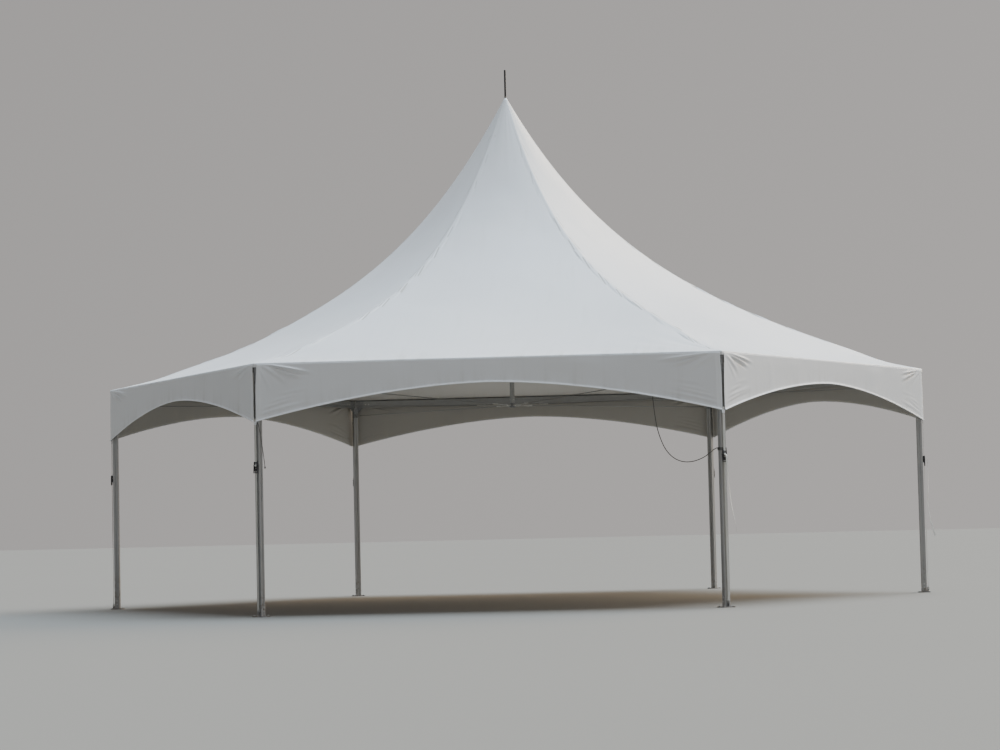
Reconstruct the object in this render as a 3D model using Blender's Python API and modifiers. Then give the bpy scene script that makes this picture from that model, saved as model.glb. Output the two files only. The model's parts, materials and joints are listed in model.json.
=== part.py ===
"""Hexagonal high-peak frame marquee: six legs, six eave beams, a flying mast and a cover of six gores.

Metres, +Z up. The origin is on the ground under the mast. The front side faces -Y.
Corner pieces are modelled with +X pointing out of the tent and +Y along the eave,
side pieces with +X square to their side, and each is then turned into place.
"""

import math

import bmesh
import bpy
from mathutils import Matrix, Vector

# Plan
SIDE = 5.0                    # leg axis to leg axis, and leg axis to mast axis
CORNERS = ("right", "back_right", "back_left", "left", "front_left", "front_right")
SIDES = ("back_right", "back", "back_left", "front_left", "front", "front_right")
SECTOR = math.radians(60.0)
APOTHEM = SIDE * math.cos(SECTOR / 2)

# Fits
CLEARANCE = 0.0003            # between faces that rest on or slide in each other
OVERLAP = 0.002               # how far shapes that are fused run into each other
WELD = 0.00001                # points closer than this are one

# Heights
EAVE_Z = 2.745                # cover at the start of its turned-down edge
APEX_Z = 6.30                 # cover at the mast axis
FINIAL_TOP_Z = 6.63
TIP_Z = 2.105                 # lower tips of the valances
RATCHET_Z = 1.63
MAST_FOOT_Z = 2.395           # underside of the mast foot
STAY_RISE = 0.115             # stays at the corner brackets, above their height at the mast foot

# Cover
COVER_THICKNESS = 0.003
EAVE_RADIUS = 0.020
LIP_HEIGHT = 0.050            # turned-down edge, below EAVE_Z
SWEEP_SHARE = 0.53            # share of the rise in the wide lower sweep of the hips
SWEEP_POWER = 1.15
PEAK_POWER = 4.3
HIP_CRISPNESS = 0.25          # 0 keeps the plan hexagonal to the top, larger rounds it sooner
SEGMENTS_PER_SIDE = 8
COVER_RINGS = 15
RING_SPREAD = 1.6             # above 1 the rings lie closer towards the peak

# Valances
HEM_RISE = 0.363              # middle of the arched hem above its tips
HEM_POWER = 1.75
HEM_SEGMENTS = 20
CORNER_SLOT = 0.014           # valance end to the corner, along the side
KEDER_THICKNESS = 0.0054
KEDER_DEPTH = 0.005
KEDER_END = 0.010             # keder stops short of the beam's ends

# Legs
LEG_WIDTH = 0.066
LEG_CORNER = 0.007
LEG_WALL = 0.003
GROOVE_WIDTH = 0.006
GROOVE_DEPTH = 0.008

# Eave beams
BEAM_WIDTH = 0.048
BEAM_HEIGHT = 0.095
BEAM_WALL = 0.003
BEAM_CORNER = 0.003

# Corner brackets
LUG_MARGIN = 0.006            # post below the lug of the stay
ARM_LENGTH = 0.125            # leg axis to the shoulder that a beam butts against
BEAM_STUB = 0.100
LEG_STUB = 0.150
GUSSET_REACH = 0.115
GUSSET_DROP = 0.080
GUSSET_THICKNESS = 0.008
LUG_THICKNESS = 0.008
LUG_REACH = 0.045
LUG_HEIGHT = 0.040

# Base plates
PLATE_WIDTH = 0.150
PLATE_THICKNESS = 0.010
PLATE_CORNER = 0.012
FOOT_STUB = 0.120
EYE_THICKNESS = 0.008
EYE_HEIGHT = 0.050
EYE_WIDTH = 0.026
EYE_HOLE = 0.014

# Ratchet straps
STRAP_WIDTH = 0.024
STRAP_THICKNESS = 0.002
STRAP_LAP = 0.035             # strap behind the valance tips
TAB_WIDTH = 0.040
TAB_HEIGHT = 0.034
TAB_THICKNESS = 0.006
RATCHET_WIDTH = 0.048
RATCHET_DEPTH = 0.030
RATCHET_HEIGHT = 0.090
RATCHET_GAP = 0.0011          # between a ratchet and the outer face of its leg
SPOOL_DIAMETER = 0.024
SPOOL_LENGTH = 0.066
HANDLE_LENGTH = 0.085
HANDLE_THICKNESS = 0.010
HOOK_THICKNESS = 0.005

# Mast
MAST_DIAMETER = 0.058
MAST_WALL = 0.003
ROUND_STEPS = 24
HUB_DIAMETER = 0.076
HUB_HEIGHT = 0.056
HUB_SPIGOT = 0.080
HUB_LUG_REACH = 0.030
HUB_LUG_HEIGHT = 0.024
HUB_STAY_HEIGHT = 0.026       # stay axis above the underside of the foot
FINIAL_DIAMETER = 0.024
FINIAL_CHAMFER = 0.003
CAP_SPIGOT = 0.060

# Stays
CABLE_DIAMETER = 0.010
CABLE_SIDES = 8
CLEVIS_LENGTH = 0.040
CLEVIS_WIDTH = 0.024
CLEVIS_HEIGHT = 0.022
CLEVIS_LAP = 0.020            # lug inside its clevis
TURNBUCKLE_START = 0.120      # from the mast axis
TURNBUCKLE_LENGTH = 0.240
TURNBUCKLE_DIAMETER = 0.026

# Loose cords
ROPE_DIAMETER = 0.010
TAIL_DIAMETER = 0.008
CORD_SIDE_RESOLUTION = 2
POINTS_PER_SPAN = 4
ROPE_ROUTE = (
    (1.7600, -4.3300, 2.6479), (1.7600, -4.3300, 2.5600), (1.7660, -4.3200, 2.4000), (1.7760, -4.3060, 2.2400),
    (1.7900, -4.2940, 2.0900), (1.8120, -4.2850, 1.9400), (1.8450, -4.2800, 1.8200), (1.8900, -4.2760, 1.7150),
    (1.9500, -4.2750, 1.6350), (2.0200, -4.2760, 1.5850), (2.0950, -4.2800, 1.5620), (2.1700, -4.2870, 1.5620),
    (2.2450, -4.2980, 1.5800), (2.3150, -4.3160, 1.6120), (2.3750, -4.3380, 1.6550), (2.4180, -4.3500, 1.6870),
    (2.4453, -4.3484, 1.7000), (2.4553, -4.3426, 1.7000), (2.4653, -4.3368, 1.7000),
)
TAIL_RIGHT_ROUTE = (
    (5.0645, 0.0000, 1.6300), (5.0740, 0.0000, 1.6290), (5.0840, 0.0000, 1.6200), (5.0910, 0.0010, 1.5900),
    (5.0940, 0.0030, 1.5000), (5.0930, 0.0060, 1.4000), (5.0910, 0.0080, 1.3000), (5.0850, 0.0080, 1.2000),
    (5.0800, 0.0060, 1.1000), (5.0850, 0.0030, 1.0000), (5.1000, 0.0000, 0.9000), (5.1250, -0.0030, 0.8000),
    (5.1550, -0.0050, 0.6900),
)
TAIL_FRONT_ROUTE = (
    (2.5322, -4.3859, 1.6300), (2.5370, -4.3942, 1.6290), (2.5420, -4.4028, 1.6200), (2.5455, -4.4085, 1.5900),
    (2.5500, -4.4090, 1.4800), (2.5560, -4.4040, 1.3800), (2.5630, -4.3970, 1.2800), (2.5720, -4.3900, 1.1800),
    (2.5850, -4.3840, 1.0800), (2.6020, -4.3790, 0.9800), (2.6200, -4.3760, 0.8900), (2.6340, -4.3740, 0.8000),
)
TIE_ROUTE = (
    (-2.5070, -4.3828, 2.0880), (-2.4990, -4.3874, 2.0870), (-2.4925, -4.3912, 2.0750), (-2.4880, -4.3940, 2.0400),
    (-2.4840, -4.3960, 1.9800), (-2.4800, -4.3970, 1.9000), (-2.4770, -4.3970, 1.8200), (-2.4740, -4.3970, 1.7400),
    (-2.4710, -4.3960, 1.6700), (-2.4690, -4.3950, 1.6100),
)


def clear_scene():
    for obj in list(bpy.data.objects):
        bpy.data.objects.remove(obj, do_unlink=True)


def new_collection(name):
    collection = bpy.data.collections.new(name)
    bpy.context.scene.collection.children.link(collection)
    return collection


clear_scene()
MARQUEE = new_collection("marquee_tent")
CUTTERS = new_collection("cutters")


def material(name, colour, roughness, metallic=0.0):
    result = bpy.data.materials.new(name)
    result.use_nodes = True
    shader = result.node_tree.nodes["Principled BSDF"]
    shader.inputs["Base Color"].default_value = (*colour, 1.0)
    shader.inputs["Roughness"].default_value = roughness
    shader.inputs["Metallic"].default_value = metallic
    result.diffuse_color = (*colour, 1.0)
    return result


PVC = material("white_pvc", (0.80, 0.83, 0.87), 0.45)
ALUMINIUM = material("anodised_aluminium", (0.62, 0.63, 0.65), 0.38, 1.0)
STEEL = material("galvanised_steel", (0.42, 0.43, 0.44), 0.50, 1.0)
CABLE = material("steel_cable", (0.45, 0.45, 0.46), 0.42, 1.0)
WEBBING = material("pale_webbing", (0.66, 0.65, 0.62), 0.85)
ROPE = material("dark_rope", (0.16, 0.15, 0.14), 0.90)


def as_object(name, mesh, collection=CUTTERS):
    obj = bpy.data.objects.new(name, mesh)
    collection.objects.link(obj)
    return obj


def mesh_from(bm, name):
    bmesh.ops.recalc_face_normals(bm, faces=bm.faces)
    mesh = bpy.data.meshes.new(name)
    bm.to_mesh(mesh)
    bm.free()
    return mesh


def box(low, high):
    """Box between two opposite corners."""
    low, high = Vector(low), Vector(high)
    bm = bmesh.new()
    bmesh.ops.create_cube(bm, size=1.0)
    bmesh.ops.scale(bm, vec=high - low, verts=bm.verts)
    bmesh.ops.translate(bm, vec=(low + high) / 2, verts=bm.verts)
    return mesh_from(bm, "box")


def cylinder(start, end, diameter, sides):
    """Closed cylinder from one point to another."""
    start, end = Vector(start), Vector(end)
    axis = end - start
    bm = bmesh.new()
    bmesh.ops.create_cone(
        bm, cap_ends=True, segments=sides, radius1=diameter / 2, radius2=diameter / 2, depth=axis.length
    )
    turn = Vector((0, 0, 1)).rotation_difference(axis.normalized()).to_matrix().to_4x4()
    bmesh.ops.transform(bm, matrix=Matrix.Translation((start + end) / 2) @ turn, verts=bm.verts)
    return mesh_from(bm, "cylinder")


def evaluated_mesh(obj):
    """Mesh of an object as its modifiers leave it; the object is removed."""
    graph = bpy.context.evaluated_depsgraph_get()
    mesh = bpy.data.meshes.new_from_object(obj.evaluated_get(graph))
    mesh.transform(obj.matrix_world)
    bpy.data.objects.remove(obj, do_unlink=True)
    return mesh


def welded(mesh):
    bm = bmesh.new()
    bm.from_mesh(mesh)
    bmesh.ops.remove_doubles(bm, verts=bm.verts, dist=WELD)
    return mesh_from(bm, mesh.name)


def extrusion(loops, depth):
    """Solid of flat outlines in X and Y, half its depth to each side of Z = 0. Inner loops are holes."""
    curve = bpy.data.curves.new("extrusion", "CURVE")
    curve.dimensions = "2D"
    curve.fill_mode = "BOTH"
    curve.extrude = depth / 2
    for loop in loops:
        spline = curve.splines.new("POLY")
        spline.points.add(len(loop) - 1)
        for point, (x, y) in zip(spline.points, loop):
            point.co = (x, y, 0.0, 1.0)
        spline.use_cyclic_u = True
    obj = as_object("extrusion", curve)
    bpy.context.view_layer.update()
    return welded(evaluated_mesh(obj))


def moved(mesh, matrix):
    mesh.transform(matrix)
    return mesh


def combined(base, tools, operation):
    """Base mesh after a Boolean with each of the tool meshes in turn."""
    body = as_object("body", base)
    helpers = []
    for index, mesh in enumerate(tools):
        helper = as_object(f"tool_{index}", mesh)
        helper.hide_render = True
        helper.display_type = "WIRE"
        helpers.append(helper)
        modifier = body.modifiers.new(f"{operation.lower()}_{index}", "BOOLEAN")
        modifier.operation = operation
        modifier.solver = "EXACT"
        modifier.object = helper
    bpy.context.view_layer.update()
    result = evaluated_mesh(body)
    for helper in helpers:
        bpy.data.objects.remove(helper, do_unlink=True)
    return welded(result)


def fused(base, *additions):
    return combined(base, additions, "UNION")


def cut(base, *cutters):
    return combined(base, cutters, "DIFFERENCE")


def finished(mesh, finish, smooth_angle=None):
    """Give a mesh its material, and smooth shading up to an angle where one is given."""
    mesh.materials.clear()
    mesh.materials.append(finish)
    if smooth_angle:
        mesh.shade_smooth()
        mesh.set_sharp_from_angle(angle=math.radians(smooth_angle))
    return mesh


def turned(profile, name, finish, closed=False):
    """Turned piece on the Z axis. Its profile of radius and height runs down the outer side.

    A profile that starts and ends on the axis makes a full piece, a closed one makes a tube.
    """
    mesh = bpy.data.meshes.new(name)
    edges = [(i, i + 1) for i in range(len(profile) - 1)]
    if closed:
        edges.append((len(profile) - 1, 0))
    mesh.from_pydata([(radius, 0.0, z) for radius, z in profile], edges, [])
    obj = as_object(name, mesh)
    screw = obj.modifiers.new("turn", "SCREW")
    screw.axis = "Z"
    screw.steps = ROUND_STEPS
    screw.render_steps = ROUND_STEPS
    screw.use_merge_vertices = True
    screw.merge_threshold = WELD
    bpy.context.view_layer.update()
    return finished(welded(evaluated_mesh(obj)), finish, 35)


def at_corners(name, mesh):
    """One copy of a corner piece at each leg."""
    for index, corner in enumerate(CORNERS):
        angle = index * SECTOR
        obj = as_object(f"{name}_{corner}", mesh, MARQUEE)
        obj.location = (SIDE * math.cos(angle), SIDE * math.sin(angle), 0.0)
        obj.rotation_euler = (0.0, 0.0, angle)


def on_sides(name, mesh):
    """One copy of a side piece on each side."""
    for index, side in enumerate(SIDES):
        angle = (index + 0.5) * SECTOR
        obj = as_object(f"{name}_{side}", mesh, MARQUEE)
        obj.location = (APOTHEM * math.cos(angle), APOTHEM * math.sin(angle), 0.0)
        obj.rotation_euler = (0.0, 0.0, angle)


def stand_up(mesh):
    """Turn an outline drawn in X and Y, so that its Y points up and its depth lies along the old -Y."""
    return moved(mesh, Matrix.Rotation(math.radians(90), 4, "X"))


def face_out(mesh):
    """Turn an outline drawn in X and Y, so that X runs along the side, Y points up and depth points out."""
    to_side = Matrix(((0, 0, 1, 0), (1, 0, 0, 0), (0, 1, 0, 0), (0, 0, 0, 1)))
    return moved(mesh, to_side)


# Straps, and the valances that hang just outside them

STRAP_MIDDLE = LEG_WIDTH / 2 + RATCHET_GAP + RATCHET_DEPTH / 2
STRAP_FACE = STRAP_MIDDLE + STRAP_THICKNESS / 2
VALANCE_CORNER = STRAP_FACE + CORNER_SLOT * math.cos(SECTOR) + 2 * CLEARANCE
VALANCE_OFFSET = VALANCE_CORNER * math.cos(SECTOR / 2)    # inner face, from the beam's centre plane

# Cover

LIP_APOTHEM = APOTHEM + VALANCE_OFFSET + COVER_THICKNESS
EDGE_APOTHEM = LIP_APOTHEM - EAVE_RADIUS
EDGE_RADIUS = EDGE_APOTHEM / math.cos(SECTOR / 2)
BEAM_EDGE_RADIUS = (APOTHEM + BEAM_WIDTH / 2) / math.cos(SECTOR / 2)
COLLAR_RADIUS = FINIAL_DIAMETER / 2 + CLEARANCE + COVER_THICKNESS
MAST_RADIUS = MAST_DIAMETER / 2
LIP_Z = EAVE_Z - LIP_HEIGHT


def hip_height(radius):
    """Height of the cover over a hip, at a distance from the mast axis."""
    inward = max(0.0, 1.0 - radius / EDGE_RADIUS)
    sweep = SWEEP_SHARE * inward ** SWEEP_POWER
    peak = (1.0 - SWEEP_SHARE) * inward ** PEAK_POWER
    return EAVE_Z + (APEX_Z - EAVE_Z) * (sweep + peak)


def hip_slope(radius):
    step = 0.001
    return (hip_height(radius + step) - hip_height(radius - step)) / (2 * step)


def underside(radius):
    """Height of the cover's inner face over a hip."""
    return hip_height(radius) - COVER_THICKNESS * math.hypot(1.0, hip_slope(radius))


def plan_ring(corner_radius, squareness, z):
    """Points of one level of the cover, from a circle (0) to a straight-sided hexagon (1)."""
    points = []
    for index in range(6 * SEGMENTS_PER_SIDE):
        side, step = divmod(index, SEGMENTS_PER_SIDE)
        along = 2.0 * step / SEGMENTS_PER_SIDE - 1.0
        off_middle = math.atan(along * math.tan(SECTOR / 2))
        straight = math.cos(SECTOR / 2) / math.cos(off_middle)
        radius = corner_radius * (1.0 - squareness * (1.0 - straight))
        angle = (side + 0.5) * SECTOR + off_middle
        points.append(Vector((radius * math.cos(angle), radius * math.sin(angle), z)))
    return points


def cover_rings():
    """Levels of the cover's outer face, from the collar at the finial down to the edge of the lip."""
    round_radius = MAST_RADIUS + COVER_THICKNESS
    radii = [COLLAR_RADIUS, round_radius]
    for index in range(1, COVER_RINGS):
        share = index / COVER_RINGS
        radii.append(round_radius + (BEAM_EDGE_RADIUS - round_radius) * share ** RING_SPREAD)
    radii += [BEAM_EDGE_RADIUS, EDGE_RADIUS]
    rings = []
    for radius in radii:
        outward = (radius - round_radius) / (BEAM_EDGE_RADIUS - round_radius)
        squareness = min(1.0, max(0.0, outward)) ** HIP_CRISPNESS
        rings.append(plan_ring(radius, squareness, hip_height(radius)))
    for degrees in (30, 60, 90):
        bend = math.radians(degrees)
        reach = EDGE_APOTHEM + EAVE_RADIUS * math.sin(bend)
        z = EAVE_Z - EAVE_RADIUS * (1.0 - math.cos(bend))
        rings.append(plan_ring(reach / math.cos(SECTOR / 2), 1.0, z))
    rings.append(plan_ring(LIP_APOTHEM / math.cos(SECTOR / 2), 1.0, LIP_Z))
    return rings


def loft(rings, name):
    """Open surface through closed rings of equally many points."""
    bm = bmesh.new()
    levels = [[bm.verts.new(point) for point in ring] for ring in rings]
    for upper, lower in zip(levels, levels[1:]):
        for index in range(len(upper)):
            after = (index + 1) % len(upper)
            bm.faces.new((upper[index], lower[index], lower[after], upper[after]))
    mesh = bpy.data.meshes.new(name)
    bm.to_mesh(mesh)
    bm.free()
    return mesh


def whole_cover():
    """All six gores of the cover as one shell."""
    obj = as_object("whole_cover", loft(cover_rings(), "whole_cover"))
    shell = obj.modifiers.new("thickness", "SOLIDIFY")
    shell.thickness = COVER_THICKNESS
    shell.offset = -1.0
    shell.use_even_offset = True
    bpy.context.view_layer.update()
    return evaluated_mesh(obj)


def gore_wedge(angle):
    """Prism over one side, which stops half a clearance short of the hips beside it."""
    reach = 2 * SIDE
    start = CLEARANCE / 2 / math.sin(SECTOR / 2)
    outline = [(start, 0.0)]
    for turn in (-SECTOR / 2, SECTOR / 2):
        outline.append((start + reach * math.cos(turn), reach * math.sin(turn)))
    wedge = extrusion([outline], 2 * (APEX_Z - LIP_Z))
    lift = Matrix.Translation((0, 0, (APEX_Z + LIP_Z) / 2))
    return moved(wedge, Matrix.Rotation(angle, 4, "Z") @ lift)


def cover_gores():
    """One gore of the cover over each side, cut from the whole shell along its hips."""
    cover = whole_cover()
    for index, side in enumerate(SIDES):
        wedge = gore_wedge((index + 0.5) * SECTOR)
        gore = combined(cover.copy(), [wedge], "INTERSECT")
        as_object(f"cover_gore_{side}", finished(gore, PVC, 12), MARQUEE)


# Valances

BEAM_LENGTH = SIDE - 2 * (ARM_LENGTH + CLEARANCE)
VALANCE_TOP = LIP_Z - CLEARANCE
VALANCE_HALF = (APOTHEM + VALANCE_OFFSET) * math.tan(SECTOR / 2) - CORNER_SLOT


def hem_height(along):
    return TIP_Z + HEM_RISE * (1.0 - abs(along / VALANCE_HALF) ** HEM_POWER)


def valances():
    outline = [(VALANCE_HALF, VALANCE_TOP), (-VALANCE_HALF, VALANCE_TOP)]
    for index in range(HEM_SEGMENTS + 1):
        along = VALANCE_HALF * (2.0 * index / HEM_SEGMENTS - 1.0)
        outline.append((along, hem_height(along)))
    sheet = face_out(extrusion([outline], COVER_THICKNESS))
    moved(sheet, Matrix.Translation((VALANCE_OFFSET + COVER_THICKNESS / 2, 0, 0)))
    half = BEAM_LENGTH / 2 - KEDER_END
    keder = box(
        (BEAM_WIDTH / 2 - KEDER_DEPTH, -half, VALANCE_TOP - KEDER_THICKNESS),
        (VALANCE_OFFSET + COVER_THICKNESS / 2, half, VALANCE_TOP),
    )
    on_sides("valance", finished(fused(sheet, keder), PVC))


# Eave beams

BEAM_TOP = underside(BEAM_EDGE_RADIUS) - CLEARANCE
KEDER_Z = VALANCE_TOP - KEDER_THICKNESS / 2
KEDER_SLOT = KEDER_THICKNESS + 2 * CLEARANCE


def rounded_rectangle(width, height, corner, centre=(0.0, 0.0)):
    """Rectangle outline with its four corners cut by arcs of three points."""
    points = []
    for quarter in range(4):
        angle = quarter * math.pi / 2
        across = (width / 2 - corner) * (1 if quarter in (0, 3) else -1)
        up = (height / 2 - corner) * (1 if quarter in (0, 1) else -1)
        for step in range(3):
            turn = angle + step * math.pi / 4
            x = centre[0] + across + corner * math.cos(turn)
            y = centre[1] + up + corner * math.sin(turn)
            points.append((x, y))
    return points


def eave_beams():
    """Hollow extrusions with a keder groove along their outer face."""
    outer = rounded_rectangle(BEAM_WIDTH, BEAM_HEIGHT, BEAM_CORNER)
    groove_z = KEDER_Z - (BEAM_TOP - BEAM_HEIGHT / 2)
    half_slot = KEDER_SLOT / 2
    bottom = BEAM_WIDTH / 2 - KEDER_DEPTH - CLEARANCE
    groove = [
        (BEAM_WIDTH / 2, groove_z - half_slot), (bottom, groove_z - half_slot),
        (bottom, groove_z + half_slot), (BEAM_WIDTH / 2, groove_z + half_slot),
    ]
    section = outer[9:12] + groove + outer[0:9]
    across = bottom - BEAM_WALL
    up = BEAM_HEIGHT / 2 - BEAM_WALL
    hollow = [(across, up), (-across, up), (-across, -up), (across, -up)]
    mesh = extrusion([section, hollow], BEAM_LENGTH)
    stand_up(mesh)
    moved(mesh, Matrix.Translation((0, 0, BEAM_TOP - BEAM_HEIGHT / 2)))
    on_sides("eave_beam", finished(mesh, ALUMINIUM))


# Legs

BRACKET_TOP = EAVE_Z - EAVE_RADIUS
STAY_INNER_Z = MAST_FOOT_Z + HUB_STAY_HEIGHT
STAY_OUTER_Z = STAY_INNER_Z + STAY_RISE
BRACKET_BOTTOM = STAY_OUTER_Z - LUG_HEIGHT / 2 - LUG_MARGIN
POST_HEIGHT = BRACKET_TOP - BRACKET_BOTTOM
LEG_BORE = LEG_WIDTH / 2 - GROOVE_DEPTH - LEG_WALL
STUB_HALF = LEG_BORE - CLEARANCE


def turned_quarters(points):
    """Outline made by repeating a quarter of it around the origin."""
    outline = []
    for quarter in range(4):
        cosine = round(math.cos(quarter * math.pi / 2))
        sine = round(math.sin(quarter * math.pi / 2))
        outline += [(cosine * x - sine * y, sine * x + cosine * y) for x, y in points]
    return outline


def leg_section():
    """Square extrusion with a keder groove in each face and a hollow core."""
    half = LEG_WIDTH / 2
    slot = GROOVE_WIDTH / 2
    floor = half - GROOVE_DEPTH
    arc = LEG_CORNER * (1.0 - math.cos(math.radians(45)))
    outer = [
        (half, -slot), (floor, -slot), (floor, slot), (half, slot),
        (half, half - LEG_CORNER), (half - arc, half - arc),
        (half - LEG_CORNER, half),
    ]
    boss = slot + LEG_WALL
    core = half - LEG_WALL
    inner = [(LEG_BORE, -boss), (LEG_BORE, boss), (core, boss), (core, core), (boss, core)]
    return [turned_quarters(outer), turned_quarters(inner)]


def legs():
    length = BRACKET_BOTTOM - CLEARANCE - (PLATE_THICKNESS + CLEARANCE)
    mesh = extrusion(leg_section(), length)
    moved(mesh, Matrix.Translation((0, 0, PLATE_THICKNESS + CLEARANCE + length / 2)))
    at_corners("leg", finished(mesh, ALUMINIUM))


# Corner brackets

def toward_neighbour(direction):
    """Turn from the outward X of a corner to the beam on one side of it."""
    return Matrix.Rotation(direction * (math.pi - SECTOR), 4, "Z")


def bracket_arm(direction):
    """Arm that carries a beam: a shoulder as large as the beam, a stub inside it and a gusset below."""
    half_width = BEAM_WIDTH / 2
    hollow = half_width - KEDER_DEPTH - CLEARANCE - BEAM_WALL
    underneath = BEAM_TOP - BEAM_HEIGHT
    root = LEG_WIDTH / 4
    shoulder = box((root, -half_width, underneath), (ARM_LENGTH, half_width, BEAM_TOP))
    stub = box(
        (ARM_LENGTH - OVERLAP, -hollow + CLEARANCE, underneath + BEAM_WALL + CLEARANCE),
        (ARM_LENGTH + BEAM_STUB, hollow - CLEARANCE, BEAM_TOP - BEAM_WALL - CLEARANCE),
    )
    gusset_outline = [
        (root, underneath + OVERLAP), (root, underneath - GUSSET_DROP),
        (LEG_WIDTH / 2, underneath - GUSSET_DROP), (GUSSET_REACH, underneath + OVERLAP),
    ]
    gusset = stand_up(extrusion([gusset_outline], GUSSET_THICKNESS))
    turn = toward_neighbour(direction)
    return [moved(piece, turn) for piece in (shoulder, stub, gusset)]


def corner_brackets():
    half = LEG_WIDTH / 2
    outline = turned_quarters([(half, half - LEG_CORNER), (half - LEG_CORNER, half)])
    post = extrusion([outline], POST_HEIGHT)
    moved(post, Matrix.Translation((0, 0, BRACKET_BOTTOM + POST_HEIGHT / 2)))
    stub = box(
        (-STUB_HALF, -STUB_HALF, BRACKET_BOTTOM - LEG_STUB), (STUB_HALF, STUB_HALF, BRACKET_BOTTOM + OVERLAP)
    )
    lug = box(
        (-half - LUG_REACH, -LUG_THICKNESS / 2, STAY_OUTER_Z - LUG_HEIGHT / 2),
        (-half + OVERLAP, LUG_THICKNESS / 2, STAY_OUTER_Z + LUG_HEIGHT / 2),
    )
    mesh = fused(post, stub, lug, *bracket_arm(1), *bracket_arm(-1))
    at_corners("corner_bracket", finished(mesh, STEEL))


# Base plates

EYE_Z = PLATE_THICKNESS + EYE_HEIGHT - EYE_WIDTH / 2


def base_plates():
    """Foot with a stub inside the leg and an eye outside it for the strap's hook."""
    outline = turned_quarters([
        (PLATE_WIDTH / 2, PLATE_WIDTH / 2 - PLATE_CORNER), (PLATE_WIDTH / 2 - PLATE_CORNER, PLATE_WIDTH / 2)
    ])
    plate = extrusion([outline], PLATE_THICKNESS)
    moved(plate, Matrix.Translation((0, 0, PLATE_THICKNESS / 2)))
    stub = box(
        (-STUB_HALF, -STUB_HALF, PLATE_THICKNESS - OVERLAP), (STUB_HALF, STUB_HALF, PLATE_THICKNESS + FOOT_STUB)
    )
    eye = box(
        (STRAP_MIDDLE - EYE_WIDTH / 2, -EYE_THICKNESS / 2, PLATE_THICKNESS - OVERLAP),
        (STRAP_MIDDLE + EYE_WIDTH / 2, EYE_THICKNESS / 2, PLATE_THICKNESS + EYE_HEIGHT),
    )
    hole = cylinder(
        (STRAP_MIDDLE, -EYE_THICKNESS, EYE_Z), (STRAP_MIDDLE, EYE_THICKNESS, EYE_Z), EYE_HOLE, 12
    )
    mesh = cut(fused(plate, stub, eye), hole)
    at_corners("base_plate", finished(mesh, STEEL))


# Ratchet straps

def ratchet_straps():
    """Webbing from the valance tips to the foot, with a tab, a ratchet and a flat hook on it."""
    hook_side = EYE_THICKNESS / 2 + CLEARANCE
    strap = box(
        (STRAP_FACE - STRAP_THICKNESS, -STRAP_WIDTH / 2, EYE_Z + EYE_WIDTH),
        (STRAP_FACE, STRAP_WIDTH / 2, TIP_Z + STRAP_LAP),
    )
    tab = box(
        (STRAP_MIDDLE - TAB_THICKNESS / 2, -TAB_WIDTH / 2, TIP_Z - CLEARANCE - TAB_HEIGHT),
        (STRAP_MIDDLE + TAB_THICKNESS / 2, TAB_WIDTH / 2, TIP_Z - CLEARANCE),
    )
    body = box(
        (STRAP_MIDDLE - RATCHET_DEPTH / 2, -RATCHET_WIDTH / 2, RATCHET_Z - RATCHET_HEIGHT / 2),
        (STRAP_MIDDLE + RATCHET_DEPTH / 2, RATCHET_WIDTH / 2, RATCHET_Z + RATCHET_HEIGHT / 2),
    )
    spool = cylinder(
        (STRAP_MIDDLE, -SPOOL_LENGTH / 2, RATCHET_Z), (STRAP_MIDDLE, SPOOL_LENGTH / 2, RATCHET_Z),
        SPOOL_DIAMETER, 12,
    )
    handle = box(
        (STRAP_MIDDLE, -RATCHET_WIDTH / 2 - HANDLE_THICKNESS / 2, RATCHET_Z - HANDLE_LENGTH),
        (STRAP_MIDDLE + HANDLE_THICKNESS, RATCHET_WIDTH / 2 + HANDLE_THICKNESS / 2, RATCHET_Z),
    )
    cross = box(
        (STRAP_MIDDLE - HOOK_THICKNESS / 2, -STRAP_WIDTH / 2, EYE_Z + EYE_WIDTH - OVERLAP),
        (STRAP_MIDDLE + HOOK_THICKNESS / 2, hook_side + HOOK_THICKNESS, EYE_Z + EYE_WIDTH + 2 * HOOK_THICKNESS),
    )
    shank = box(
        (STRAP_MIDDLE - EYE_WIDTH / 4, hook_side, EYE_Z - EYE_HOLE / 2),
        (STRAP_MIDDLE + EYE_WIDTH / 4, hook_side + HOOK_THICKNESS, EYE_Z + EYE_WIDTH + 2 * HOOK_THICKNESS),
    )
    pin_diameter = EYE_HOLE - 4 * CLEARANCE
    pin = cylinder(
        (STRAP_MIDDLE, -EYE_THICKNESS, EYE_Z), (STRAP_MIDDLE, hook_side + OVERLAP, EYE_Z), pin_diameter, 12
    )
    mesh = fused(strap, tab, body, spool, handle, cross, shank, pin)
    at_corners("ratchet_strap", finished(mesh, WEBBING))


# Mast

HUB_TOP_Z = MAST_FOOT_Z + HUB_HEIGHT
MAST_BORE = MAST_RADIUS - MAST_WALL
CAP_Z = underside(MAST_RADIUS) - CLEARANCE


def mast():
    top = CAP_Z - FINIAL_DIAMETER / 2 - CLEARANCE
    bottom = HUB_TOP_Z + CLEARANCE
    profile = [(MAST_RADIUS, top), (MAST_RADIUS, bottom), (MAST_BORE, bottom), (MAST_BORE, top)]
    as_object("mast", turned(profile, "mast", ALUMINIUM, closed=True), MARQUEE)


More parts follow.
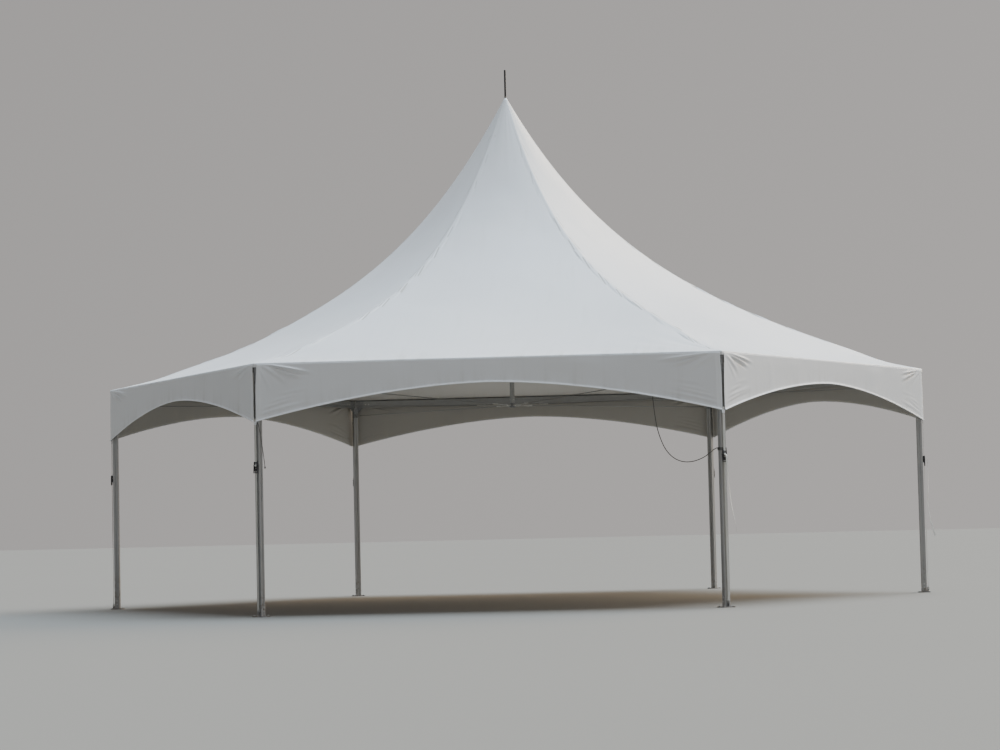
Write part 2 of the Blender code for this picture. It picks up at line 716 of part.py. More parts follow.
def finial():
    """Rod through the cover's collar, on a conical cap that sits in the mast and bears on the cover."""
    rod = FINIAL_DIAMETER / 2
    cone_top = underside(rod) - 4 * CLEARANCE
    flange = CAP_Z - FINIAL_DIAMETER / 2
    profile = [
        (0.0, FINIAL_TOP_Z), (rod - FINIAL_CHAMFER, FINIAL_TOP_Z), (rod, FINIAL_TOP_Z - FINIAL_CHAMFER),
        (rod, cone_top), (MAST_RADIUS, CAP_Z), (MAST_RADIUS, flange),
        (MAST_BORE - CLEARANCE, flange), (MAST_BORE - CLEARANCE, flange - CAP_SPIGOT), (0.0, flange - CAP_SPIGOT),
    ]
    as_object("finial", turned(profile, "finial", STEEL), MARQUEE)


def mast_foot():
    """Hub under the mast with a spigot inside the tube and a lug for each stay."""
    hub = HUB_DIAMETER / 2
    spigot = MAST_BORE - CLEARANCE
    profile = [
        (0.0, HUB_TOP_Z + HUB_SPIGOT), (spigot, HUB_TOP_Z + HUB_SPIGOT), (spigot, HUB_TOP_Z),
        (hub, HUB_TOP_Z), (hub, MAST_FOOT_Z), (0.0, MAST_FOOT_Z),
    ]
    body = turned(profile, "mast_foot", STEEL)
    lugs = []
    for index in range(6):
        lug = box(
            (hub / 2, -LUG_THICKNESS / 2, STAY_INNER_Z - HUB_LUG_HEIGHT / 2),
            (hub + HUB_LUG_REACH, LUG_THICKNESS / 2, STAY_INNER_Z + HUB_LUG_HEIGHT / 2),
        )
        lugs.append(moved(lug, Matrix.Rotation(index * SECTOR, 4, "Z")))
    as_object("mast_foot", finished(fused(body, *lugs), STEEL, 35), MARQUEE)


# Stays

STAY_INNER_X = HUB_DIAMETER / 2 + HUB_LUG_REACH - CLEVIS_LAP
STAY_OUTER_X = SIDE - LEG_WIDTH / 2 - LUG_REACH + CLEVIS_LAP


def clevis(start, lug_end, gap):
    """Block with a slot that straddles a lug, from its open end towards the cable."""
    direction = 1 if gap > 0 else -1
    low = min(start, start + direction * CLEVIS_LENGTH)
    block = box(
        (low, -CLEVIS_WIDTH / 2, -CLEVIS_HEIGHT / 2), (low + CLEVIS_LENGTH, CLEVIS_WIDTH / 2, CLEVIS_HEIGHT / 2)
    )
    slot_low = min(start - direction * OVERLAP, lug_end + gap)
    slot_high = max(start - direction * OVERLAP, lug_end + gap)
    half_slot = LUG_THICKNESS / 2 + CLEARANCE
    slot = box((slot_low, -half_slot, -CLEVIS_HEIGHT), (slot_high, half_slot, CLEVIS_HEIGHT))
    return cut(block, slot)


def stay_cables():
    """Cable with a clevis at each end and a turnbuckle near the mast foot."""
    run = STAY_OUTER_X - STAY_INNER_X
    length = math.hypot(run, STAY_RISE)
    end_gap = 10 * CLEARANCE
    inner = clevis(0.0, CLEVIS_LAP, end_gap)
    outer = clevis(length, length - CLEVIS_LAP, -end_gap)
    cable = cylinder(
        (CLEVIS_LENGTH - OVERLAP, 0, 0), (length - CLEVIS_LENGTH + OVERLAP, 0, 0), CABLE_DIAMETER, CABLE_SIDES
    )
    buckle_start = TURNBUCKLE_START - STAY_INNER_X
    buckle = cylinder((buckle_start, 0, 0), (buckle_start + TURNBUCKLE_LENGTH, 0, 0), TURNBUCKLE_DIAMETER, 12)
    mesh = finished(fused(cable, buckle, inner, outer), CABLE)
    tilt = -math.atan2(STAY_RISE, run)
    for index, corner in enumerate(CORNERS):
        angle = index * SECTOR
        obj = as_object(f"stay_cable_{corner}", mesh, MARQUEE)
        obj.location = (STAY_INNER_X * math.cos(angle), STAY_INNER_X * math.sin(angle), STAY_INNER_Z)
        obj.rotation_euler = (0.0, tilt, angle)


# Loose cords

def smooth_route(points):
    """Points on a smooth curve through a route's own points."""
    route = [Vector(point) for point in points]
    result = []
    for index in range(len(route) - 1):
        before = route[max(index - 1, 0)]
        start, end = route[index], route[index + 1]
        after = route[min(index + 2, len(route) - 1)]
        for step in range(POINTS_PER_SPAN):
            t = step / POINTS_PER_SPAN
            result.append(0.5 * (
                2 * start + (end - before) * t
                + (2 * before - 5 * start + 4 * end - after) * t ** 2
                + (3 * start - before - 3 * end + after) * t ** 3
            ))
    result.append(route[-1])
    return result


def cord(name, route, diameter, finish):
    curve = bpy.data.curves.new(name, "CURVE")
    curve.dimensions = "3D"
    curve.bevel_depth = diameter / 2
    curve.bevel_resolution = CORD_SIDE_RESOLUTION
    curve.use_fill_caps = True
    points = smooth_route(route)
    spline = curve.splines.new("POLY")
    spline.points.add(len(points) - 1)
    for point, place in zip(spline.points, points):
        point.co = (*place, 1.0)
    curve.materials.append(finish)
    as_object(name, curve, MARQUEE)


def loose_cords():
    cord("slack_rope", ROPE_ROUTE, ROPE_DIAMETER, ROPE)
    cord("strap_tail_right", TAIL_RIGHT_ROUTE, TAIL_DIAMETER, WEBBING)
    cord("strap_tail_front_right", TAIL_FRONT_ROUTE, TAIL_DIAMETER, WEBBING)
    cord("tie_cord_front_left", TIE_ROUTE, TAIL_DIAMETER, ROPE)


cover_gores()
valances()
eave_beams()
legs()
corner_brackets()
base_plates()
ratchet_straps()
mast()
finial()
mast_foot()
stay_cables()
loose_cords()
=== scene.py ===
"""Looks of a hexagonal high-peak marquee tent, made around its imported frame.

Metres, +Z up, in the frame's own coordinates. The front side faces -Y. Corner pieces are drawn with
+X pointing out of the tent and +Y along the eave, side pieces with +X square to their side.
"""

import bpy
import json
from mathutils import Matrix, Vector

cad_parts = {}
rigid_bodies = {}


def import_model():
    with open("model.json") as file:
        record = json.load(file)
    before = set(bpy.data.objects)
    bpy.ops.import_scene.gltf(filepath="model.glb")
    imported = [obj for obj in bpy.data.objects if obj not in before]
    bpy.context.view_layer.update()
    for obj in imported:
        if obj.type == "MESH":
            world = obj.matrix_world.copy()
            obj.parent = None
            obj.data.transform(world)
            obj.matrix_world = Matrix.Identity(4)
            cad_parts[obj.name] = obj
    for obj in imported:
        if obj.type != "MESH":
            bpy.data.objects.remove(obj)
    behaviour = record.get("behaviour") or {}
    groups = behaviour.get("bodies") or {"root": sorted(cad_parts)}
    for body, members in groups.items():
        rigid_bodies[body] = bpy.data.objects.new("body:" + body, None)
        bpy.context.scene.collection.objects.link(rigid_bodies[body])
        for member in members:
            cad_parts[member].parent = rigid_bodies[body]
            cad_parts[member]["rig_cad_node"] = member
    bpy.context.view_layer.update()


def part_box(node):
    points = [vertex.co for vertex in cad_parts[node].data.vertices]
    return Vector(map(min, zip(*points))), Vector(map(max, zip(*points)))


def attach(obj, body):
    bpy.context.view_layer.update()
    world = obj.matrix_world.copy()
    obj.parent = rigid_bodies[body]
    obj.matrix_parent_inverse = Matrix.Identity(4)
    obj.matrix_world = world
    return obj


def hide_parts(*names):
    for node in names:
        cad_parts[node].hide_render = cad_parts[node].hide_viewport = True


bl_info = {
    "name": "Hexagonal marquee tent",
    "version": (1, 0, 0),
    "blender": (4, 5, 0),
    "location": "3D Viewport > Sidebar > Marquee",
    "description": "Adds the cloth, straps, stays, fittings and finishes of a hexagonal marquee tent",
    "category": "Object",
}

import json
import random
from math import atan2, cos, hypot, pi, radians, sin, tan

import bmesh
import bpy
import numpy as np
from bpy.props import FloatProperty, FloatVectorProperty, PointerProperty
from mathutils import Matrix, Vector, noise

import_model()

CORNERS = ("right", "back_right", "back_left", "left", "front_left", "front_right")
SIDES = ("back_right", "back", "back_left", "front_left", "front", "front_right")
SECTOR = pi / 3
HALF_SECTOR = SECTOR / 2
OUT = Vector((1.0, 0.0, 0.0))
ALONG = Vector((0.0, 1.0, 0.0))
UP = Vector((0.0, 0.0, 1.0))


# Sizes of the frame

def span(node):
    return [Vector(corner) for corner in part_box(node)]


PLATE_LOW, PLATE_HIGH = span("base_plate_right")
GORE_LOW = span("cover_gore_front")[0]
VALANCE_LOW, VALANCE_HIGH = span("valance_front")
LEG_LOW, LEG_HIGH = span("leg_right")
BEAM_LOW, BEAM_HIGH = span("eave_beam_front")
STRAP_LOW, STRAP_HIGH = span("ratchet_strap_right")
MAST_LOW, MAST_HIGH = span("mast")

SIDE = (PLATE_LOW.x + PLATE_HIGH.x) / 2
APOTHEM = SIDE * cos(HALF_SECTOR)
LIP_APOTHEM = -GORE_LOW.y
LIP_Z = GORE_LOW.z
TIP_Z = VALANCE_LOW.z
VALANCE_HALF = VALANCE_HIGH.x
LEG_HALF = (LEG_HIGH.x - LEG_LOW.x) / 2
BEAM_HALF = (BEAM_HIGH.y - BEAM_LOW.y) / 2
STRAP_X = (STRAP_LOW.x + STRAP_HIGH.x) / 2 - SIDE
PLATE_TOP = 0.01
MAST_RADIUS = MAST_HIGH.x

# Cover, drawn over the same levels as the frame's gores

EAVE_RADIUS = 0.02
EAVE_Z = LIP_Z + 0.05
APEX_Z = 6.3
SWEEP_SHARE = 0.53
SWEEP_POWER = 1.15
PEAK_POWER = 4.3
HIP_CRISPNESS = 0.25
COVER_LEAN = 0.08            # to the right, most between mast and eave
CORNER_SAG = 0.022            # of the hips near the corners
LEFT_SAG = 0.03              # of the left hip, further in
EDGE_APOTHEM = LIP_APOTHEM - EAVE_RADIUS
EDGE_RADIUS = EDGE_APOTHEM / cos(HALF_SECTOR)
COLLAR_RADIUS = 0.0153
ROUND_RADIUS = MAST_RADIUS + 0.003
COVER_ROWS = 86
COVER_COLUMNS = 80            # of one gore
HIP_SPACING = 0.01           # between the columns next to a hip
DASH_SPACING = 0.44           # between the short creases beside a hip
FIRST_PUCKER = 0.95           # from the mast, down the cover
LAST_PUCKER = 5.6
GORE_BASE = 2 * LIP_APOTHEM * tan(HALF_SECTOR)
GORE_LENGTH = 6.2             # of the flat cloth, with its turned edge
GORES_ABREAST = 3.25          # bases that six flat gores take up, laid tip to base

# Valances

HEM_RISE = 0.363
HEM_POWER = 1.75
HEM_LEVELS = (0.042, 0.034, 0.027, 0.0245, 0.0225, 0.019, 0.014, 0.009, 0.0045, 0.0)
UPPER_ROWS = 44
VALANCE_COLUMNS = 200
CLOTH_TOP = LIP_Z + 0.0285    # the cloth laps over the cover's lip
SLOT_FLARE = 0.012            # wider slot at the top of a corner

# Straps and stays

RATCHET_Z = 1.63
STRAP_WIDTH = 0.024
STRAP_THICKNESS = 0.002
EYE_Z = 0.047
HOOK_TOP = 0.078
CLEVIS_LENGTH = 0.04
CLEVIS_WIDTH = 0.024
CLEVIS_HEIGHT = 0.022
LUG_THICKNESS = 0.008
STAY_INNER_X = 0.048
STAY_INNER_Z = 2.421
STAY_RUN = SIDE - 0.058 - STAY_INNER_X
STAY_RISE = 0.115
STAY_LENGTH = hypot(STAY_RUN, STAY_RISE)
STAY_WIRE = 0.01
STAY_LAY = 2 * pi / 0.085
TURNBUCKLE_START = 0.072
TURNBUCKLE_END = 0.312

# Bolts, clamp and floor

LEG_BOLTS = (0.062, 0.104, LEG_HIGH.z - 0.052, LEG_HIGH.z - 0.102)
BEAM_BOLTS = (0.03, 0.074)    # from the beam's ends
CLAMP_RADIUS = 0.0152
FLOOR_REACH = 260.0

# Loose cords: routes as in the frame

ROPE_DIAMETER = 0.01
ROPE_LAY = 2 * pi / 0.042     # turn of its strands along a metre
ROPE_TURNS = 2.75             # round the leg
ROPE_TURNS_TOP = 1.704
ROPE_PITCH = 0.0112
EYE_RADIUS = 0.0115
TIE_DIAMETER = 0.008
TIE_LAY = 2 * pi / 0.16
TAIL_WIDTH = 0.022
TAIL_THICKNESS = 0.0018
ROPE_ROUTE = (
    (1.76, -4.33, 2.6479), (1.76, -4.33, 2.56), (1.766, -4.32, 2.4), (1.776, -4.306, 2.24),
    (1.79, -4.294, 2.09), (1.812, -4.285, 1.94), (1.845, -4.28, 1.82), (1.89, -4.276, 1.715),
    (1.95, -4.275, 1.635), (2.02, -4.276, 1.585), (2.095, -4.28, 1.562), (2.17, -4.287, 1.562),
    (2.245, -4.298, 1.58), (2.315, -4.316, 1.612), (2.375, -4.338, 1.655), (2.418, -4.35, 1.687),
    (2.4453, -4.3484, 1.7), (2.4553, -4.3426, 1.7), (2.4653, -4.3368, 1.7),
)
TAIL_RIGHT_ROUTE = (
    (5.0645, 0.0, 1.63), (5.074, 0.0, 1.629), (5.084, 0.0, 1.62), (5.091, 0.001, 1.59),
    (5.094, 0.003, 1.5), (5.093, 0.006, 1.4), (5.091, 0.008, 1.3), (5.085, 0.008, 1.2),
    (5.08, 0.006, 1.1), (5.085, 0.003, 1.0), (5.1, 0.0, 0.9), (5.125, -0.003, 0.8),
    (5.155, -0.005, 0.69),
)
TAIL_FRONT_ROUTE = (
    (2.5322, -4.3859, 1.63), (2.537, -4.3942, 1.629), (2.542, -4.4028, 1.62), (2.5455, -4.4085, 1.59),
    (2.55, -4.409, 1.48), (2.556, -4.404, 1.38), (2.563, -4.397, 1.28), (2.572, -4.39, 1.18),
    (2.585, -4.384, 1.08), (2.602, -4.379, 0.98), (2.62, -4.376, 0.89), (2.634, -4.374, 0.8),
)
TIE_ROUTE = (
    (-2.507, -4.3828, 2.088), (-2.499, -4.3874, 2.087), (-2.49, -4.3912, 2.075), (-2.48, -4.394, 2.04),
    (-2.469, -4.396, 1.98), (-2.457, -4.397, 1.9), (-2.446, -4.397, 1.82), (-2.436, -4.397, 1.74),
    (-2.428, -4.396, 1.67), (-2.422, -4.395, 1.61),
)


# Settings

def colour_setting(name, description, *default):
    return FloatVectorProperty(
        name=name, description=description, subtype="COLOR", size=3, min=0.0, max=1.0, default=default
    )


def length_setting(name, description, default, low, high):
    limits = {"min": low, "max": high}
    return FloatProperty(name=name, description=description, unit="LENGTH", default=default, **limits)


def angle_setting(name, description, degrees):
    return FloatProperty(name=name, description=description, subtype="ANGLE", default=radians(degrees))


class MarqueeClothSettings(bpy.types.PropertyGroup):
    """Cover and valances."""

    colour: colour_setting("Cloth colour", "Clean coated cloth", 0.81, 0.82, 0.835)
    # Both inner colours are darker and warmer than the outer cloth: painted shade for the shaded inside of
    # the tent.
    underside_colour: colour_setting("Underside colour", "Inner side of the cover", 0.73, 0.722, 0.7)
    inside_colour: colour_setting("Inside colour", "Inner side of the valances", 0.478, 0.465, 0.436)
    # The dust colour also serves as the colour of the painted shade along the creases and in the puckers'
    # hollows.
    dust_colour: colour_setting("Dust colour", "Dust and rain marks on the cloth", 0.55, 0.54, 0.5)
    thickness: length_setting("Cloth thickness", "Coated cloth", 0.0012, 0.0005, 0.003)
    pucker_depth: length_setting("Pucker depth", "Short wrinkles beside the hip seams", 0.011, 0.0, 0.02)
    corner_fold_depth: length_setting("Corner fold depth", "Folds from the upper corners", 0.021, 0.0, 0.03)
    hem_width: length_setting("Hem width", "Doubled band along the arched lower edge", 0.024, 0.01, 0.06)
    pocket_width: length_setting("Pocket width", "Doubled band down both ends", 0.062, 0.02, 0.12)


class MarqueeFrameSettings(bpy.types.PropertyGroup):
    """Metal, webbing and rope."""

    aluminium_colour: colour_setting("Aluminium colour", "Anodised legs, beams and mast", 0.43, 0.43, 0.425)
    # Darker than clean galvanised steel: painted shade for the corner brackets under the eaves, which the
    # plates, mast foot and stay wire share.
    steel_colour: colour_setting("Steel colour", "Galvanised brackets and plates", 0.32, 0.325, 0.33)
    zinc_colour: colour_setting("Zinc colour", "Bolts, hooks and turnbuckles", 0.6, 0.6, 0.58)
    ratchet_colour: colour_setting("Ratchet colour", "Ratchets and finial", 0.018, 0.018, 0.02)
    webbing_colour: colour_setting("Webbing colour", "Pale polyester straps", 0.66, 0.65, 0.6)
    rope_colour: colour_setting("Rope colour", "Dark laid rope", 0.085, 0.08, 0.075)


class MarqueeStageSettings(bpy.types.PropertyGroup):
    """Camera, floor and light."""

    viewpoint: FloatVectorProperty(
        name="Viewpoint", description="Place of the camera", subtype="TRANSLATION", unit="LENGTH", size=3,
        default=(1.9752, -32.31, 0.8587),
    )
    yaw: angle_setting("Yaw", "Turn to the left", 3.7569)
    pitch: angle_setting("Pitch", "Tilt up", 3.4383)
    roll: angle_setting("Roll", "Lean of the camera", -1.3068)
    lens: FloatProperty(name="Lens", description="Focal length in mm", default=93.84, min=10.0, max=300.0)
    floor_colour: colour_setting("Floor colour", "Plain studio floor", 0.236, 0.227, 0.209)
    bright_sky: colour_setting("Bright sky", "Soft light on the bright side", 0.578, 0.55, 0.53)
    dim_sky: colour_setting("Dim sky", "Soft light on the far side from it", 0.2, 0.2, 0.206)
    sky_direction: FloatVectorProperty(
        name="Sky direction", description="Way to the bright side of the sky", subtype="DIRECTION", size=3,
        default=(0.736, 0.417, -0.533),
    )


# Shader expressions

class Term:
    """A shader socket in a Python expression. Each operation on it adds one node."""

    def __init__(self, nodes, socket):
        self.nodes = nodes
        self.socket = socket

    def math(self, operation, *values):
        return self.nodes.node("ShaderNodeMath", {"operation": operation}, dict(enumerate(values)))

    def __add__(self, other):
        return self.math("ADD", self, other)

    __radd__ = __add__

    def __sub__(self, other):
        return self.math("SUBTRACT", self, other)

    def __rsub__(self, other):
        return self.math("SUBTRACT", other, self)

    def __mul__(self, other):
        return self.math("MULTIPLY", self, other)

    __rmul__ = __mul__

    def __abs__(self):
        return self.math("ABSOLUTE", self)

    def waves(self, length):
        """Sine of a distance, from -1 to 1."""
        turns = self * (2 * pi / length)
        return turns.math("SINE", turns)

    def between(self, low, high):
        """0 up to the first value, 1 from the second, with a smooth way between them."""
        sockets = {"Value": self, "From Min": low, "From Max": high}
        return self.nodes.node("ShaderNodeMapRange", {"interpolation_type": "SMOOTHSTEP"}, sockets)

    def near(self, low, high):
        """1 within the first distance of zero, 0 past the second."""
        return 1.0 - abs(self).between(low, high)

    def stretched(self, x, y, z):
        """Coordinates scaled along each axis."""
        return self.nodes.node("ShaderNodeVectorMath", {"operation": "MULTIPLY"}, {0: self, 1: (x, y, z)})

    def part(self, axis):
        return self.nodes.node("ShaderNodeSeparateXYZ", {}, {0: self}, axis)


class Nodes:
    """A node tree with an output shader, and the ways to add to it."""

    def __init__(self, tree, shader):
        self.tree = tree
        self.shader = tree.nodes[shader]

    def put(self, socket, value):
        """Set or link one socket of the shader."""
        self.join(value, self.shader.inputs[socket])

    def join(self, value, socket):
        if isinstance(value, Term):
            self.tree.links.new(value.socket, socket)
        else:
            socket.default_value = value

    def node(self, kind, settings, sockets, output=0):
        """Add a node: its settings first, then the values or links of its sockets."""
        node = self.tree.nodes.new(kind)
        for key, value in settings.items():
            setattr(node, key, value)
        for key, value in sockets.items():
            self.join(value, node.inputs[key])
        return Term(self, node.outputs[output])

    def noise(self, place, scale, detail, roughness):
        sockets = {"Vector": place, "Scale": scale, "Detail": detail, "Roughness": roughness}
        return self.node("ShaderNodeTexNoise", {"noise_dimensions": "3D"}, sockets)

    def attribute(self, name, output="Fac"):
        return self.node("ShaderNodeAttribute", {"attribute_name": name}, {}, output)

    def mix(self, share, *colours):
        """Colour between two colours."""
        first, second = (colour if isinstance(colour, Term) else (*colour, 1.0) for colour in colours)
        return self.node("ShaderNodeMix", {"data_type": "RGBA"}, {0: share, 6: first, 7: second}, 2)


class Finish(Nodes):
    """A material with a Principled shader, and the nodes that feed it."""

    def __init__(self, name, colour, roughness, metallic=0.0, more=()):
        material = bpy.data.materials.new(name)
        material.use_nodes = True
        super().__init__(material.node_tree, "Principled BSDF")
        self.colour = tuple(colour)
        material.diffuse_color = (*self.colour, 1.0)
        self.put("Base Color", (*self.colour, 1.0))
        self.put("Roughness", roughness)
        self.put("Metallic", metallic)
        for socket, value in dict(more).items():
            self.put(socket, value)

    def place(self):
        return self.node("ShaderNodeTexCoord", {}, {}, "Object")

    def mix(self, share, *colours):
        """Colour between two colours. A number stands for a shade of the finish's own colour."""
        return super().mix(share, *(
            scaled(self.colour, colour) if isinstance(colour, float) else colour for colour in colours
        ))

    def bump(self, height, distance, strength):
        sockets = {"Height": height, "Distance": distance, "Strength": strength}
        self.put("Normal", self.node("ShaderNodeBump", {}, sockets, "Normal"))


def scaled(colour, factor):
    return tuple(min(1.0, channel * factor) for channel in colour)


# Finishes

def hip_dashes(finish):
    """Short creases in a row on both sides of each hip: their shaded lines and their lit lines."""
    place = finish.attribute("hip_place", "Vector")
    aside = place.part("X")
    run = place.part("Y")
    seed = place.part("Z") * 7.3 + aside.math("GREATER_THAN", aside, 0.0) * 3.1
    count = run * (1.0 / DASH_SPACING) + seed
    cell = count.math("FLOOR", count)
    within = count.math("FRACT", count) - 0.5
    luck, shift = (
        finish.node("ShaderNodeTexWhiteNoise", {"noise_dimensions": "1D"}, {"W": cell + seed * factor})
        for factor in (19.0, 31.0)
    )
    slant = (shift * 0.16 + 0.05) * DASH_SPACING
    line = abs(aside) - 0.03 - shift * 0.014 - within * slant
    beside = 1.0 - finish.attribute("from_seam").between(0.1, 0.15)
    low = run.between(1.2, 3.6)
    reach = luck * 0.15 + low * 0.13 + 0.05
    shown = beside * within.near(reach, reach + 0.1) * luck.between(0.14, 0.3) * (low * 0.65 + 0.35)
    shaded = line.near(0.004, 0.013) + (line + 0.038).near(0.003, 0.01) * low * 0.7
    return shaded * shown, (line + 0.019).near(0.004, 0.013) * shown


def coated_cloth(settings, name, setting, creased=False):
    """Coated cloth: soft sheen, dust, rain marks, weld edges beside the hips, doubled hems, painted shade and
    painted highlights along the creases beside the hips, and painted shade in the puckers' hollows.
    """
    finish = Finish(name, getattr(settings, setting), 0.48, 0.0, {"Specular IOR Level": 0.42})
    place = finish.attribute("cloth_place", "Vector")
    solid = finish.place()
    seam = finish.attribute("from_seam")
    wear = finish.attribute("wear")
    clouds = finish.noise(solid, 0.55, 5.0, 0.55)
    marks = finish.noise(place.stretched(9.0, 0.7, 1.0), 1.0, 5.0, 0.6)
    specks = finish.noise(solid, 38.0, 2.0, 0.5)
    weld_edge = (seam - 0.024).near(0.0012, 0.004)
    stitches = (seam - 0.017).near(0.0006, 0.0022) * place.part("Y").waves(0.008).between(-0.2, 0.2)
    dirt_and_shade = clouds.between(0.42, 0.75) * 0.16 + marks.between(0.52, 0.8) * 0.14
    dirt_and_shade = dirt_and_shade + wear * marks.between(0.4, 0.75) * 0.45 + weld_edge * 0.16
    # shaded and lit are painted shade and painted highlight along the short creases beside the hips, put into
    # the colour as well as the bump.
    shaded, lit = hip_dashes(finish) if creased else (0.0, 0.0)
    # This sum holds real dust, rain marks and wear, and painted shade from the crease lines and from the
    # puckers' hollows.
    dirt_and_shade = dirt_and_shade + specks.between(0.66, 0.72) * wear * 0.25 + finish.attribute("dusty") * 0.35 + shaded * 0.3
    clean = finish.mix(clouds.between(0.35, 0.65), 0.965, 1.02)
    # The lit crease lines lighten the colour here, a painted highlight; the next line paints the shaded ones
    # darker, a painted shadow.
    doubled = finish.mix(finish.attribute("doubled") * 0.8 + lit * 0.7, clean, 1.12)
    shadow = finish.mix(shaded * 0.7, doubled, scaled(settings.dust_colour, 0.62))
    finish.put("Base Color", finish.mix(dirt_and_shade, shadow, settings.dust_colour))
    finish.put("Roughness", 0.42 + clouds * 0.1 + dirt_and_shade * 0.5)
    weave = place.part("X").waves(0.006) * place.part("Y").waves(0.006)
    creases = finish.noise(solid, 7.0, 4.0, 0.55)
    height = weave * 0.03 + creases * 0.9 + weld_edge * 0.25 - stitches * 0.5 + (lit - shaded) * 1.6
    finish.bump(height, 0.0022, 0.35)


def aluminium(settings, name, brush, shade):
    """Anodised extrusion: die lines along its length, handling marks and a little dried mud."""
    finish = Finish(name, scaled(settings.aluminium_colour, shade), 0.4, 0.7)
    place = finish.place()
    lines = finish.noise(place.stretched(*brush), 1.0, 4.0, 0.65)
    patches = finish.noise(place, 2.4, 5.0, 0.6)
    low = 1.0 - place.part("Z").between(0.02, 0.55)
    splash = finish.noise(place, 24.0, 4.0, 0.6).between(0.47, 0.68) * low
    tone = finish.mix(lines.between(0.3, 0.7), 0.88, 1.1)
    worn = finish.mix(patches.between(0.52, 0.78) * 0.45, tone, 0.72)
    finish.put("Base Color", finish.mix(splash * 0.75, worn, (0.24, 0.2, 0.15)))
    finish.put("Roughness", 0.32 + patches * 0.2 + splash * 0.3)
    finish.put("Metallic", 0.7 - splash * 0.6)
    finish.bump(lines, 0.0006, 0.3)


def galvanised(settings, name):
    """Hot-dipped steel: spangle, white rust in patches, mud near the ground."""
    finish = Finish(name, settings.steel_colour, 0.52, 0.75)
    place = finish.place()
    sockets = {"Vector": place, "Scale": 55.0}
    grain = finish.node("ShaderNodeTexVoronoi", {"feature": "F1"}, sockets, "Color").part("X")
    patches = finish.noise(place, 9.0, 5.0, 0.6)
    low = 1.0 - place.part("Z").between(0.012, 0.16)
    mud = finish.noise(place, 30.0, 4.0, 0.6).between(0.4, 0.62) * low
    chalky = finish.mix(patches.between(0.5, 0.75) * 0.55, finish.mix(grain, 0.82, 1.18), 1.35)
    rust = patches.between(0.66, 0.8) * 0.5
    rusty = finish.mix(rust, chalky, (0.2, 0.11, 0.06))
    finish.put("Base Color", finish.mix(mud * 0.85, rusty, (0.23, 0.18, 0.13)))
    finish.put("Roughness", 0.42 + grain * 0.14 + patches * 0.15 + mud * 0.2)
    finish.put("Metallic", 0.8 - mud * 0.7 - rust)
    finish.bump(patches + grain * 0.25, 0.0007, 0.35)


def zinc_plated(settings, name):
    """Bolts, hooks and turnbuckles: bright zinc gone dull, with a trace of rust."""
    finish = Finish(name, settings.zinc_colour, 0.38, 0.9)
    place = finish.place()
    film = finish.noise(place, 45.0, 4.0, 0.6)
    rust = finish.noise(place, 22.0, 5.0, 0.65).between(0.6, 0.74)
    finish.put("Base Color", finish.mix(rust * 0.6, finish.mix(film, 0.8, 1.15), (0.27, 0.14, 0.07)))
    finish.put("Roughness", 0.28 + film * 0.25 + rust * 0.3)
    finish.put("Metallic", 0.92 - rust * 0.7)
    finish.bump(film + rust * 0.6, 0.0004, 0.4)


def wire_strand(settings, name):
    """Galvanised wire of the stays, grey, and darker and rougher between its strands."""
    finish = Finish(name, scaled(settings.steel_colour, 0.95), 0.45, 0.85)
    film = finish.noise(finish.place(), 60.0, 3.0, 0.6)
    valley = 1.0 - finish.attribute("from_core").between(0.0036, 0.0048)
    finish.put("Base Color", finish.mix(valley * 0.7, finish.mix(film, 0.75, 1.2), (0.05, 0.045, 0.04)))
    finish.put("Roughness", 0.35 + film * 0.2 + valley * 0.2)
    finish.bump(film, 0.0003, 0.4)


def black_lacquer(settings, name):
    """Black lacquer, rubbed to the metal in spots."""
    finish = Finish(name, settings.ratchet_colour, 0.38, 0.0, {"Coat Weight": 0.25})
    place = finish.place()
    film = finish.noise(place, 30.0, 4.0, 0.6)
    rubbed = finish.noise(place, 85.0, 5.0, 0.7).between(0.63, 0.72)
    tone = finish.mix(film.between(0.4, 0.7), 1.0, 2.4)
    finish.put("Base Color", finish.mix(rubbed * 0.75, tone, (0.3, 0.27, 0.24)))
    finish.put("Roughness", 0.28 + film * 0.3 + rubbed * 0.15)
    finish.put("Metallic", rubbed * 0.8)
    finish.bump(film - rubbed * 0.5, 0.0004, 0.4)


def strap_webbing(settings, name):
    """Woven polyester: ribs across, a selvedge at both edges, stitched ends, soil from handling."""
    finish = Finish(name, settings.webbing_colour, 0.8, 0.0, {"Sheen Weight": 0.25})
    place = finish.attribute("cloth_place", "Vector")
    across = place.part("X")
    along = place.part("Y")
    twill = (along + across * 1.4).waves(0.0045)
    selvedge = abs(across).between(0.0088, 0.01)
    soil = finish.noise(place.stretched(30.0, 2.2, 1.0), 1.0, 5.0, 0.6)
    thread = across.waves(0.0045).between(0.1, 0.5) * along.waves(0.006).between(0.0, 0.4)
    thread = thread * finish.attribute("doubled")
    tone = finish.mix(twill.between(-0.6, 0.6), 0.86, 1.06)
    soiled = finish.mix(soil.between(0.45, 0.75) * 0.5, tone, (0.3, 0.27, 0.22))
    finish.put("Base Color", finish.mix(thread * 0.6, soiled, 1.35))
    finish.bump(along.waves(0.003) * 0.35 + twill * 0.35 + selvedge * 0.6 + thread * 0.8, 0.0006, 0.6)


